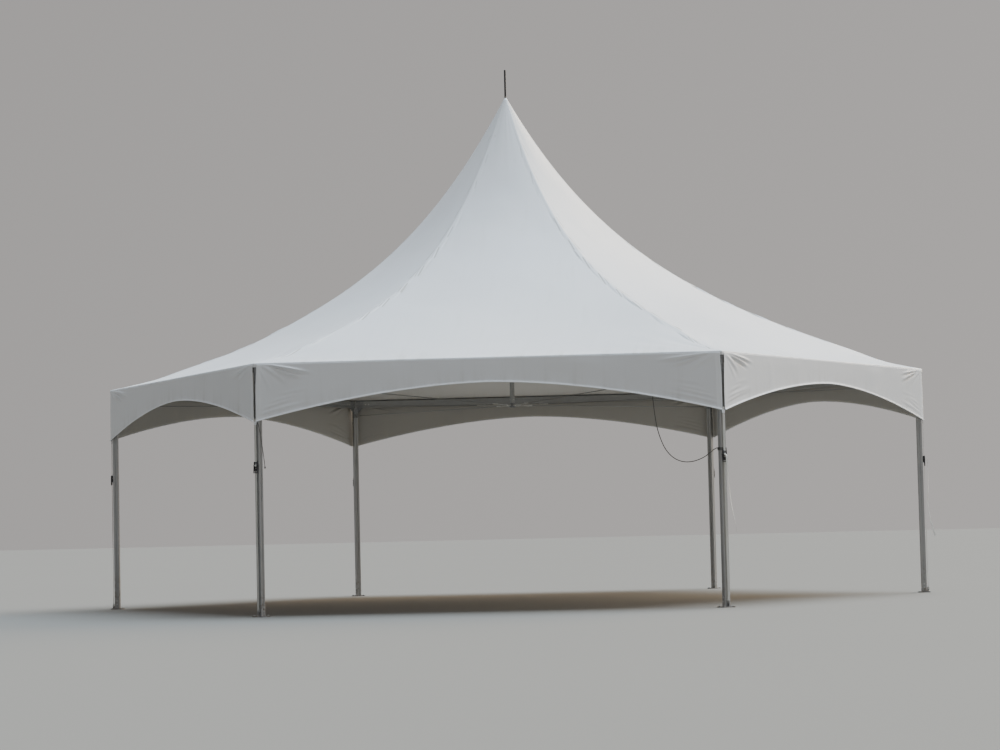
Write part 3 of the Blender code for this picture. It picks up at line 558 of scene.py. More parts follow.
def laid_rope(settings, name):
    """Dark rope: fibres along the strands, dust on the ridges, dark valleys."""
    finish = Finish(name, settings.rope_colour, 0.85, 0.0, {"Sheen Weight": 0.2})
    place = finish.attribute("cloth_place", "Vector")
    fibres = finish.noise(place.stretched(2600.0, 120.0, 1.0), 1.0, 3.0, 0.6)
    dust = finish.noise(place.stretched(90.0, 14.0, 1.0), 1.0, 4.0, 0.6)
    tone = finish.mix(fibres.between(0.35, 0.65), 0.55, 1.6)
    finish.put("Base Color", finish.mix(dust.between(0.5, 0.8) * 0.5, tone, (0.24, 0.22, 0.19)))
    finish.bump(fibres, 0.0006, 0.6)


def studio_floor(settings, name):
    finish = Finish(name, settings.floor_colour, 0.9, 0.0, {"Specular IOR Level": 0.1})
    finish.put("Base Color", finish.mix(finish.noise(finish.place(), 0.12, 2.0, 0.5), 0.985, 1.015))


MAKERS = {
    "coated_cloth": (coated_cloth, "marquee_cloth", "colour", True),
    # The cover's underside and the valances' insides take the darker inner colours, a painted shade.
    "cover_underside": (coated_cloth, "marquee_cloth", "underside_colour"),
    "valance_inside": (coated_cloth, "marquee_cloth", "inside_colour"),
    "leg_aluminium": (aluminium, "marquee_frame", (420.0, 420.0, 2.0), 1.0),
    # 0.86 makes the beams darker than the legs' aluminium: painted shade for the beams under the cover.
    "beam_aluminium": (aluminium, "marquee_frame", (16.0, 16.0, 300.0), 0.86),
    "galvanised_steel": (galvanised, "marquee_frame"),
    "zinc_plated_steel": (zinc_plated, "marquee_frame"),
    "stay_wire_strand": (wire_strand, "marquee_frame"),
    "black_lacquer": (black_lacquer, "marquee_frame"),
    "strap_webbing": (strap_webbing, "marquee_frame"),
    "laid_rope": (laid_rope, "marquee_frame"),
    "studio_floor": (studio_floor, "marquee_stage"),
}


def finish_named(name):
    """The material of that name, made on its first use."""
    if name not in bpy.data.materials:
        maker, group, *details = MAKERS[name]
        maker(getattr(bpy.context.scene, group), name, *details)
    return bpy.data.materials[name]


# Objects


def add(name, mesh, matrix=None):
    """Put a piece in the scene, riding on the tent."""
    obj = bpy.data.objects.new(name, mesh)
    obj.matrix_world = matrix or Matrix()
    bpy.context.scene.collection.objects.link(obj)
    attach(obj, "root")
    return obj


def corner_matrix(index):
    return Matrix.Rotation(index * SECTOR, 4, "Z") @ Matrix.Translation(OUT * SIDE)


def side_matrix(index):
    return Matrix.Rotation((index + 0.5) * SECTOR, 4, "Z")


def repeat(spots, matrix, meshes, node=""):
    """The same pieces at each corner or side, the first of them in place of a CAD node."""
    for index, spot in enumerate(spots):
        objects = [add(f"{mesh.name}_{spot}", mesh, matrix(index)) for mesh in meshes]
        if node:
            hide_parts(f"{node}_{spot}")


def cloth_piece(name, points, closed, attributes, inner, stands_for):
    """Sheet of cloth from a grid of points, with its thickness inwards and an inner side's finish."""
    mesh = grid_mesh(name, points, closed, attributes)
    for finish in ("coated_cloth", inner):
        mesh.materials.append(finish_named(finish))
    sheet = add(name, mesh)
    shell = sheet.modifiers.new("thickness", "SOLIDIFY")
    shell.thickness = bpy.context.scene.marquee_cloth.thickness
    shell.offset = -1.0
    shell.material_offset = 1
    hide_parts(*stands_for)
    return sheet


def grid_mesh(name, points, closed, attributes):
    """Mesh of a grid of points in rows, closed around its columns or open, with named attributes."""
    rows, columns = points.shape[:2]
    index = np.arange(rows * columns).reshape(rows, columns)
    if closed:
        index = np.concatenate([index, index[:, :1]], axis=1)
    quads = np.stack([index[:-1, :-1], index[1:, :-1], index[1:, 1:], index[:-1, 1:]], axis=-1)
    mesh = bpy.data.meshes.new(name)
    mesh.from_pydata(points.reshape(-1, 3).tolist(), [], quads.reshape(-1, 4).tolist())
    for key, values in attributes.items():
        kind, field = ("FLOAT_VECTOR", "vector") if values.ndim == 3 else ("FLOAT", "value")
        mesh.attributes.new(key, kind, "POINT").data.foreach_set(field, values.astype(float).ravel())
    mesh.shade_smooth()
    return mesh


def mark_cloth(mesh, doubled):
    """Give a plain piece of cloth the attributes that its finish reads."""
    mesh.attributes.new("from_seam", "FLOAT", "POINT")
    for key, value in (("from_seam", 1.0), ("doubled", doubled)):
        mesh.attributes[key].data.foreach_set("value", [value] * len(mesh.vertices))


def smooth_route(points, steps=12):
    """Points on a smooth curve through a route's own points."""
    route = [Vector(point) for point in points]
    result = []
    for before, start, end, after in zip([route[0]] + route, route, route[1:], route[2:] + [route[-1]]):
        for step in range(steps):
            t = step / steps
            curve = 2 * start + (end - before) * t + (2 * before - 5 * start + 4 * end - after) * t ** 2
            result.append(0.5 * (curve + (3 * start - before - 3 * end + after) * t ** 3))
    return result + [route[-1]]


def stretches(points):
    return [(end - start).length for start, end in zip(points, points[1:])]


def even_route(points, spacing):
    """The same line with its points at even distances."""
    line = np.array([tuple(point) for point in points])
    distances = np.concatenate([[0.0], np.cumsum(stretches(points))])
    wanted = np.linspace(0.0, distances[-1], max(2, round(distances[-1] / spacing)) + 1)
    return [Vector(place) for place in zip(*(np.interp(wanted, distances, axis) for axis in line.T))]


def arc(centre, first, second, start, end, count):
    """Points round a centre, on a turn from the first arm towards the second."""
    angles = np.linspace(start, end, count)
    return [Vector(centre) + first * cos(angle) + second * sin(angle) for angle in angles]


def round_outline(diameter, sides=8):
    circle = arc((0, 0, 0), OUT * diameter / 2, ALONG * diameter / 2, 0.0, 2 * pi, sides + 1)
    return [point.xy for point in circle[:-1]]


def laid_outline(diameter, strands, per_strand=6):
    """Outline of twisted strands: round lobes with valleys between them."""
    outline = []
    count = strands * per_strand
    for step in range(count):
        radius = diameter / 2 * (0.7 + 0.3 * abs(cos(pi * step / per_strand)) ** 0.55)
        angle = 2 * pi * step / count
        outline.append((radius * cos(angle), radius * sin(angle)))
    return outline


def flat_outline(width, thickness):
    """Outline of webbing, with its two edges rounded."""
    edge = (width - thickness) / 2
    upper = [(share * edge, thickness / 2) for share in (1.0, 0.5, 0.0, -0.5, -1.0)]
    lower = [(-x, -y) for x, y in upper]
    return upper + [(-width / 2, 0.0)] + lower + [(width / 2, 0.0)]


class Shapes:
    """Closed bodies gathered in one mesh."""

    def __init__(self):
        self.bm = bmesh.new()
        layers = self.bm.verts.layers
        self.place = layers.float_vector.new("cloth_place")
        self.doubled = layers.float.new("doubled")
        self.core = layers.float.new("from_core")

    def shaped(self, verts, matrix, bevel=0.0, segments=2):
        bmesh.ops.transform(self.bm, matrix=matrix, verts=verts)
        if bevel:
            edges = {edge for vert in verts for edge in vert.link_edges}
            bmesh.ops.bevel(
                self.bm, geom=list(edges), offset=bevel, segments=segments, affect="EDGES", profile=0.5,
                clamp_overlap=True,
            )

    def box(self, low, high, bevel=0.0):
        low, high = Vector(low), Vector(high)
        verts = bmesh.ops.create_cube(self.bm, size=1.0)["verts"]
        size = Matrix.Diagonal((*(high - low), 1.0))
        self.shaped(verts, Matrix.Translation((low + high) / 2) @ size, bevel)

    def rod(self, start, end, diameter, sides=16, end_diameter=None, bevel=0.0):
        start, end = Vector(start), Vector(end)
        axis = end - start
        cone = bmesh.ops.create_cone(
            self.bm, cap_ends=True, segments=sides, radius1=diameter / 2, depth=axis.length,
            radius2=(end_diameter or diameter) / 2,
        )
        turn = UP.rotation_difference(axis.normalized()).to_matrix().to_4x4()
        self.shaped(cone["verts"], Matrix.Translation((start + end) / 2) @ turn, bevel)

    def ball(self, centre, diameter):
        verts = bmesh.ops.create_uvsphere(self.bm, u_segments=8, v_segments=5, radius=diameter / 2)["verts"]
        self.shaped(verts, Matrix.Translation(centre))

    def skin(self, rings):
        """Faces between rings of vertices, of which the first and last may be single ones."""
        sides = max(len(ring) for ring in rings)
        for lower, upper in zip(rings, rings[1:]):
            for step in range(sides):
                after = (step + 1) % sides
                corners = [lower[i % len(lower)] for i in (step, after)]
                corners += [upper[i % len(upper)] for i in (after, step)]
                self.bm.faces.new(tuple(dict.fromkeys(corners)))

    def turned(self, profile, start, axis, sides=20):
        """Closed turned solid: its profile of distance and radius starts and ends on the axis."""
        first = Vector(axis).orthogonal().normalized()
        second = Vector(axis).cross(first)
        rings = []
        for along, radius in profile:
            centre = Vector(start) + Vector(axis) * along
            count = sides if radius else 1
            points = arc(centre, first * radius, second * radius, 0.0, 2 * pi, count + 1)[:-1]
            rings.append([self.bm.verts.new(point) for point in points])
        self.skin(rings)

    def bolt(self, place, axis, size, washer=0.18):
        """Washer and hexagon head on a face, with the end of the thread domed."""
        axis = Vector(axis) * size
        head = Vector(place) + axis * washer
        if washer:
            self.rod(place, head, size * 2.3, 20)
        self.rod(head, head + axis * 0.55, size * 1.85, 6)
        self.rod(head + axis * 0.55, head + axis * 0.68, size * 1.78, 6, size * 1.35)

    def plate(self, outline, thickness, matrix, bevel=0.0):
        """Flat plate of an outline in X and Y, half its thickness to each side of Z = 0."""
        verts = [self.bm.verts.new((x, y, -thickness / 2)) for x, y in outline]
        grown = bmesh.ops.extrude_face_region(self.bm, geom=[self.bm.faces.new(verts)])["geom"]
        top = [item for item in grown if isinstance(item, bmesh.types.BMVert)]
        bmesh.ops.translate(self.bm, vec=(0, 0, thickness), verts=top)
        self.shaped(verts + top, matrix, bevel, 1)

    def sweep(self, points, outline, side, turn=None, doubled=None):
        """Solid swept along points: an outline of (side, across) offsets, turned as it goes."""
        rings = []
        run = 0.0
        for index, point in enumerate(points):
            before = points[max(index - 1, 0)]
            after = points[min(index + 1, len(points) - 1)]
            along = (after - before).normalized()
            side = (side - along * side.dot(along)).normalized()
            if index:
                run += (point - before).length
            first = Matrix.Rotation(turn(run) if turn else 0.0, 3, along) @ side
            second = along.cross(first)
            ring = []
            for a, b in outline:
                vert = self.bm.verts.new(point + first * a + second * b)
                vert[self.place] = (a, run, 0.0)
                vert[self.core] = hypot(a, b)
                vert[self.doubled] = doubled(run) if doubled else 0.0
                ring.append(vert)
            rings.append(ring)
        self.skin(rings)
        self.bm.faces.new(rings[0][::-1])
        self.bm.faces.new(rings[-1])

    def mesh(self, name, finish, angle=35.0):
        bmesh.ops.recalc_face_normals(self.bm, faces=self.bm.faces)
        mesh = bpy.data.meshes.new(name)
        self.bm.to_mesh(mesh)
        self.bm.free()
        mesh.materials.append(finish_named(finish))
        mesh.shade_smooth()
        mesh.set_sharp_from_angle(angle=radians(angle))
        return mesh

    def piece(self, name, finish, matrix=None, angle=35.0):
        return add(name, self.mesh(name, finish, angle), matrix)


# Camera

class MARQUEE_OT_camera(bpy.types.Operator):
    """Add the camera at the viewpoint of the settings"""

    bl_idname = "marquee.camera"
    bl_label = "Add camera"

    def execute(self, context):
        stage = context.scene.marquee_stage
        camera = bpy.data.cameras.new("viewpoint")
        camera.sensor_fit = "HORIZONTAL"
        camera.sensor_width = 36.0
        camera.lens = stage.lens
        camera.clip_end = 500.0
        obj = bpy.data.objects.new("viewpoint", camera)
        turn = Matrix.Rotation(stage.yaw, 4, "Z") @ Matrix.Rotation(pi / 2 + stage.pitch, 4, "X")
        obj.matrix_world = Matrix.Translation(stage.viewpoint) @ turn @ Matrix.Rotation(stage.roll, 4, "Z")
        context.scene.collection.objects.link(obj)
        context.scene.camera = obj
        return {"FINISHED"}


# Loose cords

def hang(
    name, node, finish, route, spacing, outline, side, twist, ends=None,
    angle=80.0,
):
    """Loose cord swept along its route, in place of its CAD node, with the pieces at its ends."""
    points = even_route(smooth_route(route), spacing)
    shapes = Shapes()
    shapes.sweep(points, outline, side, lambda run: twist * run)
    cord = shapes.piece(name, finish, angle=angle)
    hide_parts(node)
    sum(stretches(points))
    ends(points) if ends else []


class MARQUEE_OT_loose_cords(bpy.types.Operator):
    """Add the slack rope, the loose strap tails and the tie cord"""

    bl_idname = "marquee.loose_cords"
    bl_label = "Add loose cords"

    def execute(self, context):
        hang(
            "slack_rope_line", "slack_rope", "laid_rope", ROPE_ROUTE, 0.0035, laid_outline(ROPE_DIAMETER, 3),
            OUT, ROPE_LAY, self.hitch_and_eye,
        )
        webbing = flat_outline(TAIL_WIDTH, TAIL_THICKNESS)
        for node, route, twist in (
            ("strap_tail_right", TAIL_RIGHT_ROUTE, 1.1), ("strap_tail_front_right", TAIL_FRONT_ROUTE, -1.3),
        ):
            outward = Vector((route[1][0], route[1][1], 0.0)).normalized()
            hang(
                node + "_webbing", node, "strap_webbing", route, 0.008, webbing, outward.cross(UP), twist,
                angle=35.0,
            )
        hang(
            "tie_cord_line", "tie_cord_front_left", "laid_rope", TIE_ROUTE, 0.004,
            laid_outline(TIE_DIAMETER, 2, 8), OUT, TIE_LAY, self.knot,
        )
        return {"FINISHED"}

    def hitch_and_eye(self, points):
        """Turns of the rope round the leg, and the screw eye that it hangs from."""
        wraps = Shapes()
        strands = laid_outline(ROPE_DIAMETER * 0.96, 3)
        wraps.sweep(self.leg_turns(), strands, UP, lambda run: ROPE_LAY * run)
        matrix = corner_matrix(CORNERS.index("front_right"))
        hitch = wraps.piece("slack_rope_hitch", "laid_rope", matrix, 80)
        eye = Shapes()
        top = Vector(ROPE_ROUTE[0])
        eye.turned([(0.0, 0.0), (0.0, 0.012), (0.002, 0.012), (0.0022, 0.0)], top, -UP)
        loop = arc(top - UP * 0.013, OUT * EYE_RADIUS, UP * EYE_RADIUS, pi / 2, 2.46 * pi, 29)
        eye.sweep(loop, round_outline(0.004), ALONG)
        return [hitch, eye.piece("slack_rope_eye", "zinc_plated_steel")]

    def leg_turns(self):
        """Rope wound round a leg, down from the point where the slack stretch meets it."""
        corner = 0.011
        flat = LEG_HALF + ROPE_DIAMETER / 2 - corner
        points = []
        for turn in np.linspace(0.0, ROPE_TURNS, round(ROPE_TURNS * 96) + 1):
            spoke = Vector((cos(pi + 2 * pi * turn), sin(pi + 2 * pi * turn), 0.0))
            reach = flat / max(abs(spoke.x), abs(spoke.y)) + corner
            points.append(spoke * reach + UP * (ROPE_TURNS_TOP - ROPE_PITCH * turn))
        return even_route(points, 0.004)

    def knot(self, points):
        knot = Shapes()
        knot.sweep(self.trefoil(points[-1] - UP * 0.004, 0.02), round_outline(0.0045), ALONG)
        return [knot.piece("tie_cord_knot", "laid_rope", angle=80)]

    def trefoil(self, centre, size, count=60):
        """Points of a small closed overhand knot."""
        points = []
        for step in range(count + 1):
            a = 2 * pi * (step % count) / count
            place = (sin(a) + 2 * sin(2 * a), -0.9 * sin(3 * a), cos(a) - 2 * cos(2 * a))
            points.append(centre + Vector(place) * (size / 6))
        return points


# Cover

def soft(values, low, high):
    """0 up to low, 1 from high, with a smooth way between them."""
    share = np.clip((values - low) / (high - low), 0.0, 1.0)
    return share * share * (3.0 - 2.0 * share)


def bell(values, width):
    """1 at zero, fading on both sides."""
    return np.exp(-(values / width) ** 2)


def graded(half, first, count):
    """Distances from 0 to half in count steps: the first is that long and each next one longer."""
    low, high = 1.0, 2.0
    for _ in range(60):
        growth = (low + high) / 2
        total = first * (growth ** count - 1.0) / (growth - 1.0)
        low, high = (growth, high) if total < half else (low, growth)
    steps = first * growth ** np.arange(count)
    return np.concatenate([[0.0], np.cumsum(steps) * half / steps.sum()])


def mirrored(half, first, count):
    """Places from -half to half in count steps, close together at both ends."""
    if half <= first * count / 2:
        return np.linspace(-half, half, count + 1)
    from_end = graded(half, first, count // 2)
    return np.concatenate([from_end - half, (half - from_end[::-1])[1:]])


def hip_height(radius):
    """Height of the cover over a hip, at distances from the mast axis."""
    inward = np.maximum(0.0, 1.0 - radius / EDGE_RADIUS)
    rise = SWEEP_SHARE * inward ** SWEEP_POWER + (1.0 - SWEEP_SHARE) * inward ** PEAK_POWER
    return EAVE_Z + (APEX_Z - EAVE_Z) * rise


def hip_line():
    """Distance from the mast axis, height and squareness of the cover's rows, along a hip."""
    share = np.linspace(0.0, 1.0, COVER_ROWS) ** 1.35
    radius = np.concatenate([[COLLAR_RADIUS], ROUND_RADIUS + (EDGE_RADIUS - ROUND_RADIUS) * share])
    bend = np.radians(np.arange(15.0, 91.0, 15.0))
    turned_height = EAVE_Z - EAVE_RADIUS * (1.0 - np.cos(bend))
    height = np.concatenate([
        hip_height(radius), turned_height, np.linspace(turned_height[-1], LIP_Z, 5)[1:],
    ])
    edge = np.concatenate([EDGE_APOTHEM + EAVE_RADIUS * np.sin(bend), [LIP_APOTHEM] * 4])
    radius = np.concatenate([radius, edge / cos(HALF_SECTOR)])
    beam_edge = (APOTHEM + BEAM_HALF) / cos(HALF_SECTOR)
    outward = np.clip((radius - ROUND_RADIUS) / (beam_edge - ROUND_RADIUS), 0.0, 1.0)
    return radius, height, outward ** HIP_CRISPNESS


def cover_grid():
    """Points of the smooth cover in rows, their distance from the middle of a gore, and the rows' radii."""
    radius, height, square = hip_line()
    points = np.zeros((len(radius), 6 * COVER_COLUMNS, 3))
    across = np.zeros(points.shape[:2])
    middles = np.repeat((np.arange(6) + 0.5) * SECTOR, COVER_COLUMNS)
    for row, (reach, z, squareness) in enumerate(zip(radius, height, square)):
        half = reach * sin(HALF_SECTOR)
        offset = mirrored(half, HIP_SPACING, COVER_COLUMNS)[:-1]
        off_middle = np.arctan(offset / half * tan(HALF_SECTOR))
        spoke = np.tile(reach * (1.0 - squareness * (1.0 - cos(HALF_SECTOR) / np.cos(off_middle))), 6)
        angle = middles + np.tile(off_middle, 6)
        points[row] = np.stack([spoke * np.cos(angle), spoke * np.sin(angle), z + 0.0 * angle], axis=-1)
        across[row] = np.tile(offset, 6)
    return points, across, radius


def lean(radius):
    """Sideways shift of the cover's rows: none at the mast and the eave, most between them."""
    inward = np.clip(1.0 - radius / EDGE_RADIUS, 0.0, 1.0)
    shape = inward ** 1.3 * (1.0 - inward) ** 2.2
    return COVER_LEAN * shape / shape.max()


def grid_normals(points):
    """Unit normals of a ring grid, on the outer side."""
    across = np.roll(points, -1, axis=1) - np.roll(points, 1, axis=1)
    normal = np.cross(np.gradient(points, axis=0), across)
    normal /= np.maximum(np.linalg.norm(normal, axis=2, keepdims=True), 1e-9)
    return normal * np.sign((normal * points)[:, :, :2].sum())


def wander(x, y, z):
    """Smooth random values at places given in arrays."""
    places = zip(*(np.ravel(values) for values in np.broadcast_arrays(x, y, z)))
    return np.array([noise.noise(Vector(place)) for place in places]).reshape(x.shape)


def hip_puckers(run, from_hip, side_of_hip, hip, depth):
    """Short slanted wrinkles on both sides of each hip seam, and painted shade in their hollows."""
    chance = random.Random(12)
    height = np.zeros_like(run)
    dust = np.zeros_like(run)
    for index, side in ((index, side) for index in range(6) for side in (-1, 1)):
        here = (hip == index) & (side_of_hip == side)
        start = FIRST_PUCKER + chance.random() * 0.3
        while start < LAST_PUCKER:
            low = float(soft(start, 1.2, 3.8))
            length = chance.uniform(0.09, 0.17) * (1.0 + 0.9 * low)
            centre = start + length / 2
            slant = chance.uniform(0.02, 0.16)
            offset = chance.uniform(0.028, 0.046)
            strength = chance.uniform(0.3, 1.0) * (0.22 + 0.98 * low)
            line = from_hip - offset - slant * (run - centre)
            along = np.where(here, strength * np.exp(-((run - centre) / (length * 0.55)) ** 4), 0.0)
            height += depth * (bell(line, 0.011) - 0.9 * bell(line - 0.021, 0.013)) * along
            # Painted shade: the hollow beside each wrinkle is marked to darken the cloth's colour.
            dust = np.maximum(dust, bell(line - 0.019, 0.008) * along)
            start += length + chance.uniform(0.08, 0.45)
    return height, dust


def corner_fans(up, from_hip, across):
    """Shallow folds that fan out from the corners of the eave over the cover."""
    up = np.maximum(up, 0.001)
    angle = np.arctan2(up, from_hip + 0.02)
    reach = np.hypot(up, from_hip)
    fade = soft(reach, 0.06, 0.3) * bell(reach, 0.95) * soft(up, 0.05, 0.14)
    return 0.0045 * fade * np.sin(angle * 15.0 + np.where(across > 0, 0.6, 2.3))


def mast_folds(points, run):
    """Folds gathered round the mast, fading down the cover."""
    angle = np.arctan2(points[:, :, 1], points[:, :, 0])
    waves = np.sin(angle * 24.0 + 0.7 * np.sin(angle * 5.0)) + 0.5 * np.sin(angle * 37.0)
    return 0.0007 * soft(run, 0.12, 0.45) * np.exp(-run / 0.75) * waves


def slack(points, run, from_hip):
    """Low waves of cloth that isn't quite even, none of them at the hips."""
    x, y, z = np.moveaxis(points, -1, 0)
    waves = 0.011 * wander(x * 0.85, y * 0.85, z * 0.85 + 3.1)
    waves += 0.0035 * wander(x * 2.6, y * 2.6, z * 2.6 + 9.4)
    return waves * soft(from_hip, 0.0, 0.45) * soft(run, 0.4, 1.4)


def grid_area(points):
    after = np.roll(points, -1, axis=1)
    first = np.cross(points[1:] - points[:-1], after[:-1] - points[:-1])
    second = np.cross(after[1:] - points[1:], after[1:] - after[:-1])
    return sum(float(np.linalg.norm(half, axis=2).sum()) for half in (first, second)) / 2


class MARQUEE_OT_cover(bpy.types.Operator):
    """Add the stretched cover over the frame's gores"""

    bl_idname = "marquee.cover"
    bl_label = "Add cover"

    def execute(self, context):
        points, across, radius = cover_grid()
        points[:, :, 0] += lean(radius)[:, None]
        normal = grid_normals(points)
        down = np.concatenate([[0.0], np.cumsum(np.linalg.norm(np.diff(points[:, 0], axis=0), axis=1))])
        run = np.repeat(down[:, None], points.shape[1], axis=1)
        up = down[COVER_ROWS] - run
        from_hip = (radius * sin(HALF_SECTOR))[:, None] - np.abs(across)
        gore = np.arange(points.shape[1]) // COVER_COLUMNS
        side_of_hip = np.where(across > 0, -1, 1)
        hip = np.where(across > 0, (gore + 1) % 6, gore)
        # The second array is painted shade for the puckers' hollows, read by the cloth's colour.
        puckers, dust = hip_puckers(run, from_hip, side_of_hip, hip, context.scene.marquee_cloth.pucker_depth)
        height = puckers + 0.0014 * (1.0 - soft(from_hip, 0.023, 0.027)) * soft(run, 0.15, 0.5)
        height += corner_fans(up, from_hip, across) + mast_folds(points, run) + slack(points, run, from_hip)
        height -= CORNER_SAG * bell(up - 0.48, 0.3) * bell(from_hip, 0.45)
        leftward = -points[:, :, 0] / np.hypot(points[:, :, 0], points[:, :, 1])
        height -= LEFT_SAG * bell(up - 1.5, 0.75) * soft(leftward, 0.5, 1.0)
        free = soft(up, 0.04, 0.16)
        height *= np.where(height < 0.0, free, 0.25 + 0.75 * free)
        points = points + normal * height[:, :, None]
        flat = np.zeros_like(run)
        aside = np.where((up < 0.12) | (run < 0.55), 1.0, from_hip * side_of_hip)
        attributes = {
            "cloth_place": np.stack([across, run, flat], axis=-1), "dusty": dust,
            "from_seam": from_hip + (1.0 - soft(run, 0.1, 0.3)) * 0.5,
            "wear": soft(-up, -0.5, 0.06) * 0.7 + (1.0 - soft(from_hip, 0.02, 0.12)) * 0.3,
            "hip_place": np.stack([aside, run, hip + flat], axis=-1),
        }
        gores = [f"cover_gore_{side}" for side in SIDES]
        cover = cloth_piece("tent_cover", points, True, attributes, "cover_underside", gores)
        width = GORES_ABREAST * GORE_BASE
        area = min(grid_area(points), width * GORE_LENGTH)
        return {"FINISHED"}


# Valances

FOLDS = (                     # start and end as (distance from the end, drop), bow, width, height
    ((0.18, 0.034), (0.58, 0.15), 0.005, 0.01, 0.9),
    ((0.17, 0.01), (0.7, 0.088), 0.004, 0.0095, 0.85),
    ((0.08, 0.03), (0.43, 0.25), 0.015, 0.014, 0.24),
    ((0.045, 0.04), (0.23, 0.33), 0.006, 0.014, 0.12),
    ((0.06, 0.54), (0.64, 0.385), 0.016, 0.011, 0.3),
    ((0.1, 0.48), (0.6, 0.345), 0.012, 0.011, 0.22),
    ((0.14, 0.42), (0.52, 0.31), 0.01, 0.01, 0.16),
    ((0.24, 0.33), (0.6, 0.27), 0.004, 0.012, 0.1),
)


def fold(from_end, drop, start, end, bow, width, height):
    """Ridge along a bowed line, sharp at its start and dying out at its end."""
    run = hypot(end[0] - start[0], end[1] - start[1])
    x, y = (end[0] - start[0]) / run, (end[1] - start[1]) / run
    forward = ((from_end - start[0]) * x + (drop - start[1]) * y) / run
    inside = np.clip(forward, 0.0, 1.0)
    aside = (drop - start[1]) * x - (from_end - start[0]) * y + 4.0 * bow * inside * (1.0 - inside)
    fade = soft(forward, -0.12, 0.16) * (1.0 - soft(forward, 0.45, 1.0))
    spread = width * (0.8 + 0.9 * inside)
    return height * fade * (bell(aside, spread) - 0.55 * bell(aside - 1.9 * spread, 1.2 * spread))


def valance_folds(along, drop, depth, chance):
    """Folds that fan out from both upper corners, creases at the tips and a few slack waves between."""
    folds = np.zeros_like(along)
    for side, share in ((-1, 1.2), (1, 0.7)):
        from_end = np.maximum(VALANCE_HALF - side * along, 0.0)
        for start, end, bow, width, strength in FOLDS:
            begin = (max(0.02, start[0] + chance.uniform(-0.02, 0.02)), start[1])
            finish = (end[0] + chance.uniform(-0.08, 0.08), end[1] + chance.uniform(-0.015, 0.02))
            height = depth * strength * chance.uniform(0.6, 1.0) * share
            folds += fold(from_end, drop, begin, finish, bow, width * chance.uniform(0.9, 1.2), height)
    for _ in range(9):
        centre = chance.uniform(-0.8, 0.8) * VALANCE_HALF
        slope = chance.uniform(-0.5, 0.5)
        height = 0.0022 * chance.uniform(0.3, 1.0) * soft(drop, 0.0, 0.08)
        folds += height * bell(along - centre - slope * drop, chance.uniform(0.05, 0.16))
    return folds


class MARQUEE_OT_valances(bpy.types.Operator):
    """Add the six hanging valances with arched hems"""

    bl_idname = "marquee.valances"
    bl_label = "Add valances"

    def execute(self, context):
        chance = random.Random(41)
        for index, side in enumerate(SIDES):
            self.valance(context.scene.marquee_cloth, index, side, chance)
        return {"FINISHED"}

    def valance(self, settings, index, side, chance):
        line = mirrored(VALANCE_HALF, 0.012, VALANCE_COLUMNS)
        hem = TIP_Z + HEM_RISE * (1.0 - np.abs(line / VALANCE_HALF) ** HEM_POWER)
        shares = np.linspace(0.0, 1.0, UPPER_ROWS, endpoint=False) ** 1.15
        upper = [CLOTH_TOP + (hem + HEM_LEVELS[0] - CLOTH_TOP) * share for share in shares]
        z = np.array(upper + [hem + level for level in HEM_LEVELS])
        drop = CLOTH_TOP - z
        along = line * (1.0 - SLOT_FLARE / VALANCE_HALF * (1.0 - soft(drop, 0.03, 0.3)))
        above = z - hem
        end_gap = VALANCE_HALF - np.abs(along)
        hem_width, pocket_width = settings.hem_width, settings.pocket_width
        in_hem = 1.0 - soft(above, hem_width - 0.0015, hem_width + 0.0005)
        in_pocket = 1.0 - soft(end_gap, pocket_width - 0.002, pocket_width + 0.002)
        folds = valance_folds(along, drop, settings.corner_fold_depth, chance)
        folds *= soft(drop, 0.0, 0.03) * (0.35 + 0.65 * soft(above, 0.0, 0.06))
        flare = 0.009 * (1.0 - np.clip(above / 0.02, 0.0, 1.0)) ** 1.5
        body = 0.004 * np.abs(wander(along * 1.3 + 7.0 * index, drop * 2.0, 0.5)) * soft(drop, 0.0, 0.12)
        layers = (0.0009 * in_hem + 0.0008 * in_pocket) * soft(drop, 0.0, 0.02)
        local = np.stack([LIP_APOTHEM + 0.0018 + folds + body + layers + flare, along, z], axis=-1)
        seam = np.minimum(np.abs(above - hem_width), np.abs(end_gap - pocket_width)) + 0.024
        attributes = {
            "cloth_place": np.stack([along, drop, np.zeros_like(drop)], axis=-1),
            "doubled": np.maximum(in_hem, in_pocket * 0.75), "from_seam": seam,
            "wear": (1.0 - soft(above, 0.0, 0.2)) * 0.6 + (1.0 - soft(end_gap, 0.0, 0.25)) * 0.4,
        }
        points = local @ np.array(side_matrix(index).to_3x3()).T
        name = f"valance_cloth_{side}"
        sheet = cloth_piece(name, points, False, attributes, "valance_inside", [f"valance_{side}"])
        self.hem_bead(index, side, local[-1])
        self.keder(index, side)

    def hem_bead(self, index, side, line):
        """Cord sewn into the lower edge, with the cloth rolled round it."""
        shapes = Shapes()
        middle = [Vector(point) - Vector((0.0006, 0.0, -0.003)) for point in line]
        shapes.sweep(even_route(middle, 0.03), round_outline(0.012, 12), OUT)
        return self.edge(shapes, f"valance_bead_{side}", index, 1.0)

    def keder(self, index, side):
        """Beaded upper edge of the valance, in the groove of the beam."""
        z = VALANCE_HIGH.z - 0.0027
        inner = APOTHEM + BEAM_HALF - 0.0022
        half = (BEAM_HIGH.x - BEAM_LOW.x) / 2 - 0.01
        shapes = Shapes()
        shapes.rod((inner, -half, z), (inner, half, z), 0.005, 10)
        shapes.box((inner, -half, z - 0.0009), (LIP_APOTHEM - 0.0014, half, z + 0.0009))
        return self.edge(shapes, f"valance_keder_{side}", index, 0.5)

    def edge(self, shapes, name, index, doubled):
        obj = shapes.piece(name, "coated_cloth", side_matrix(index))
        mark_cloth(obj.data, doubled)
        return obj


# Frame

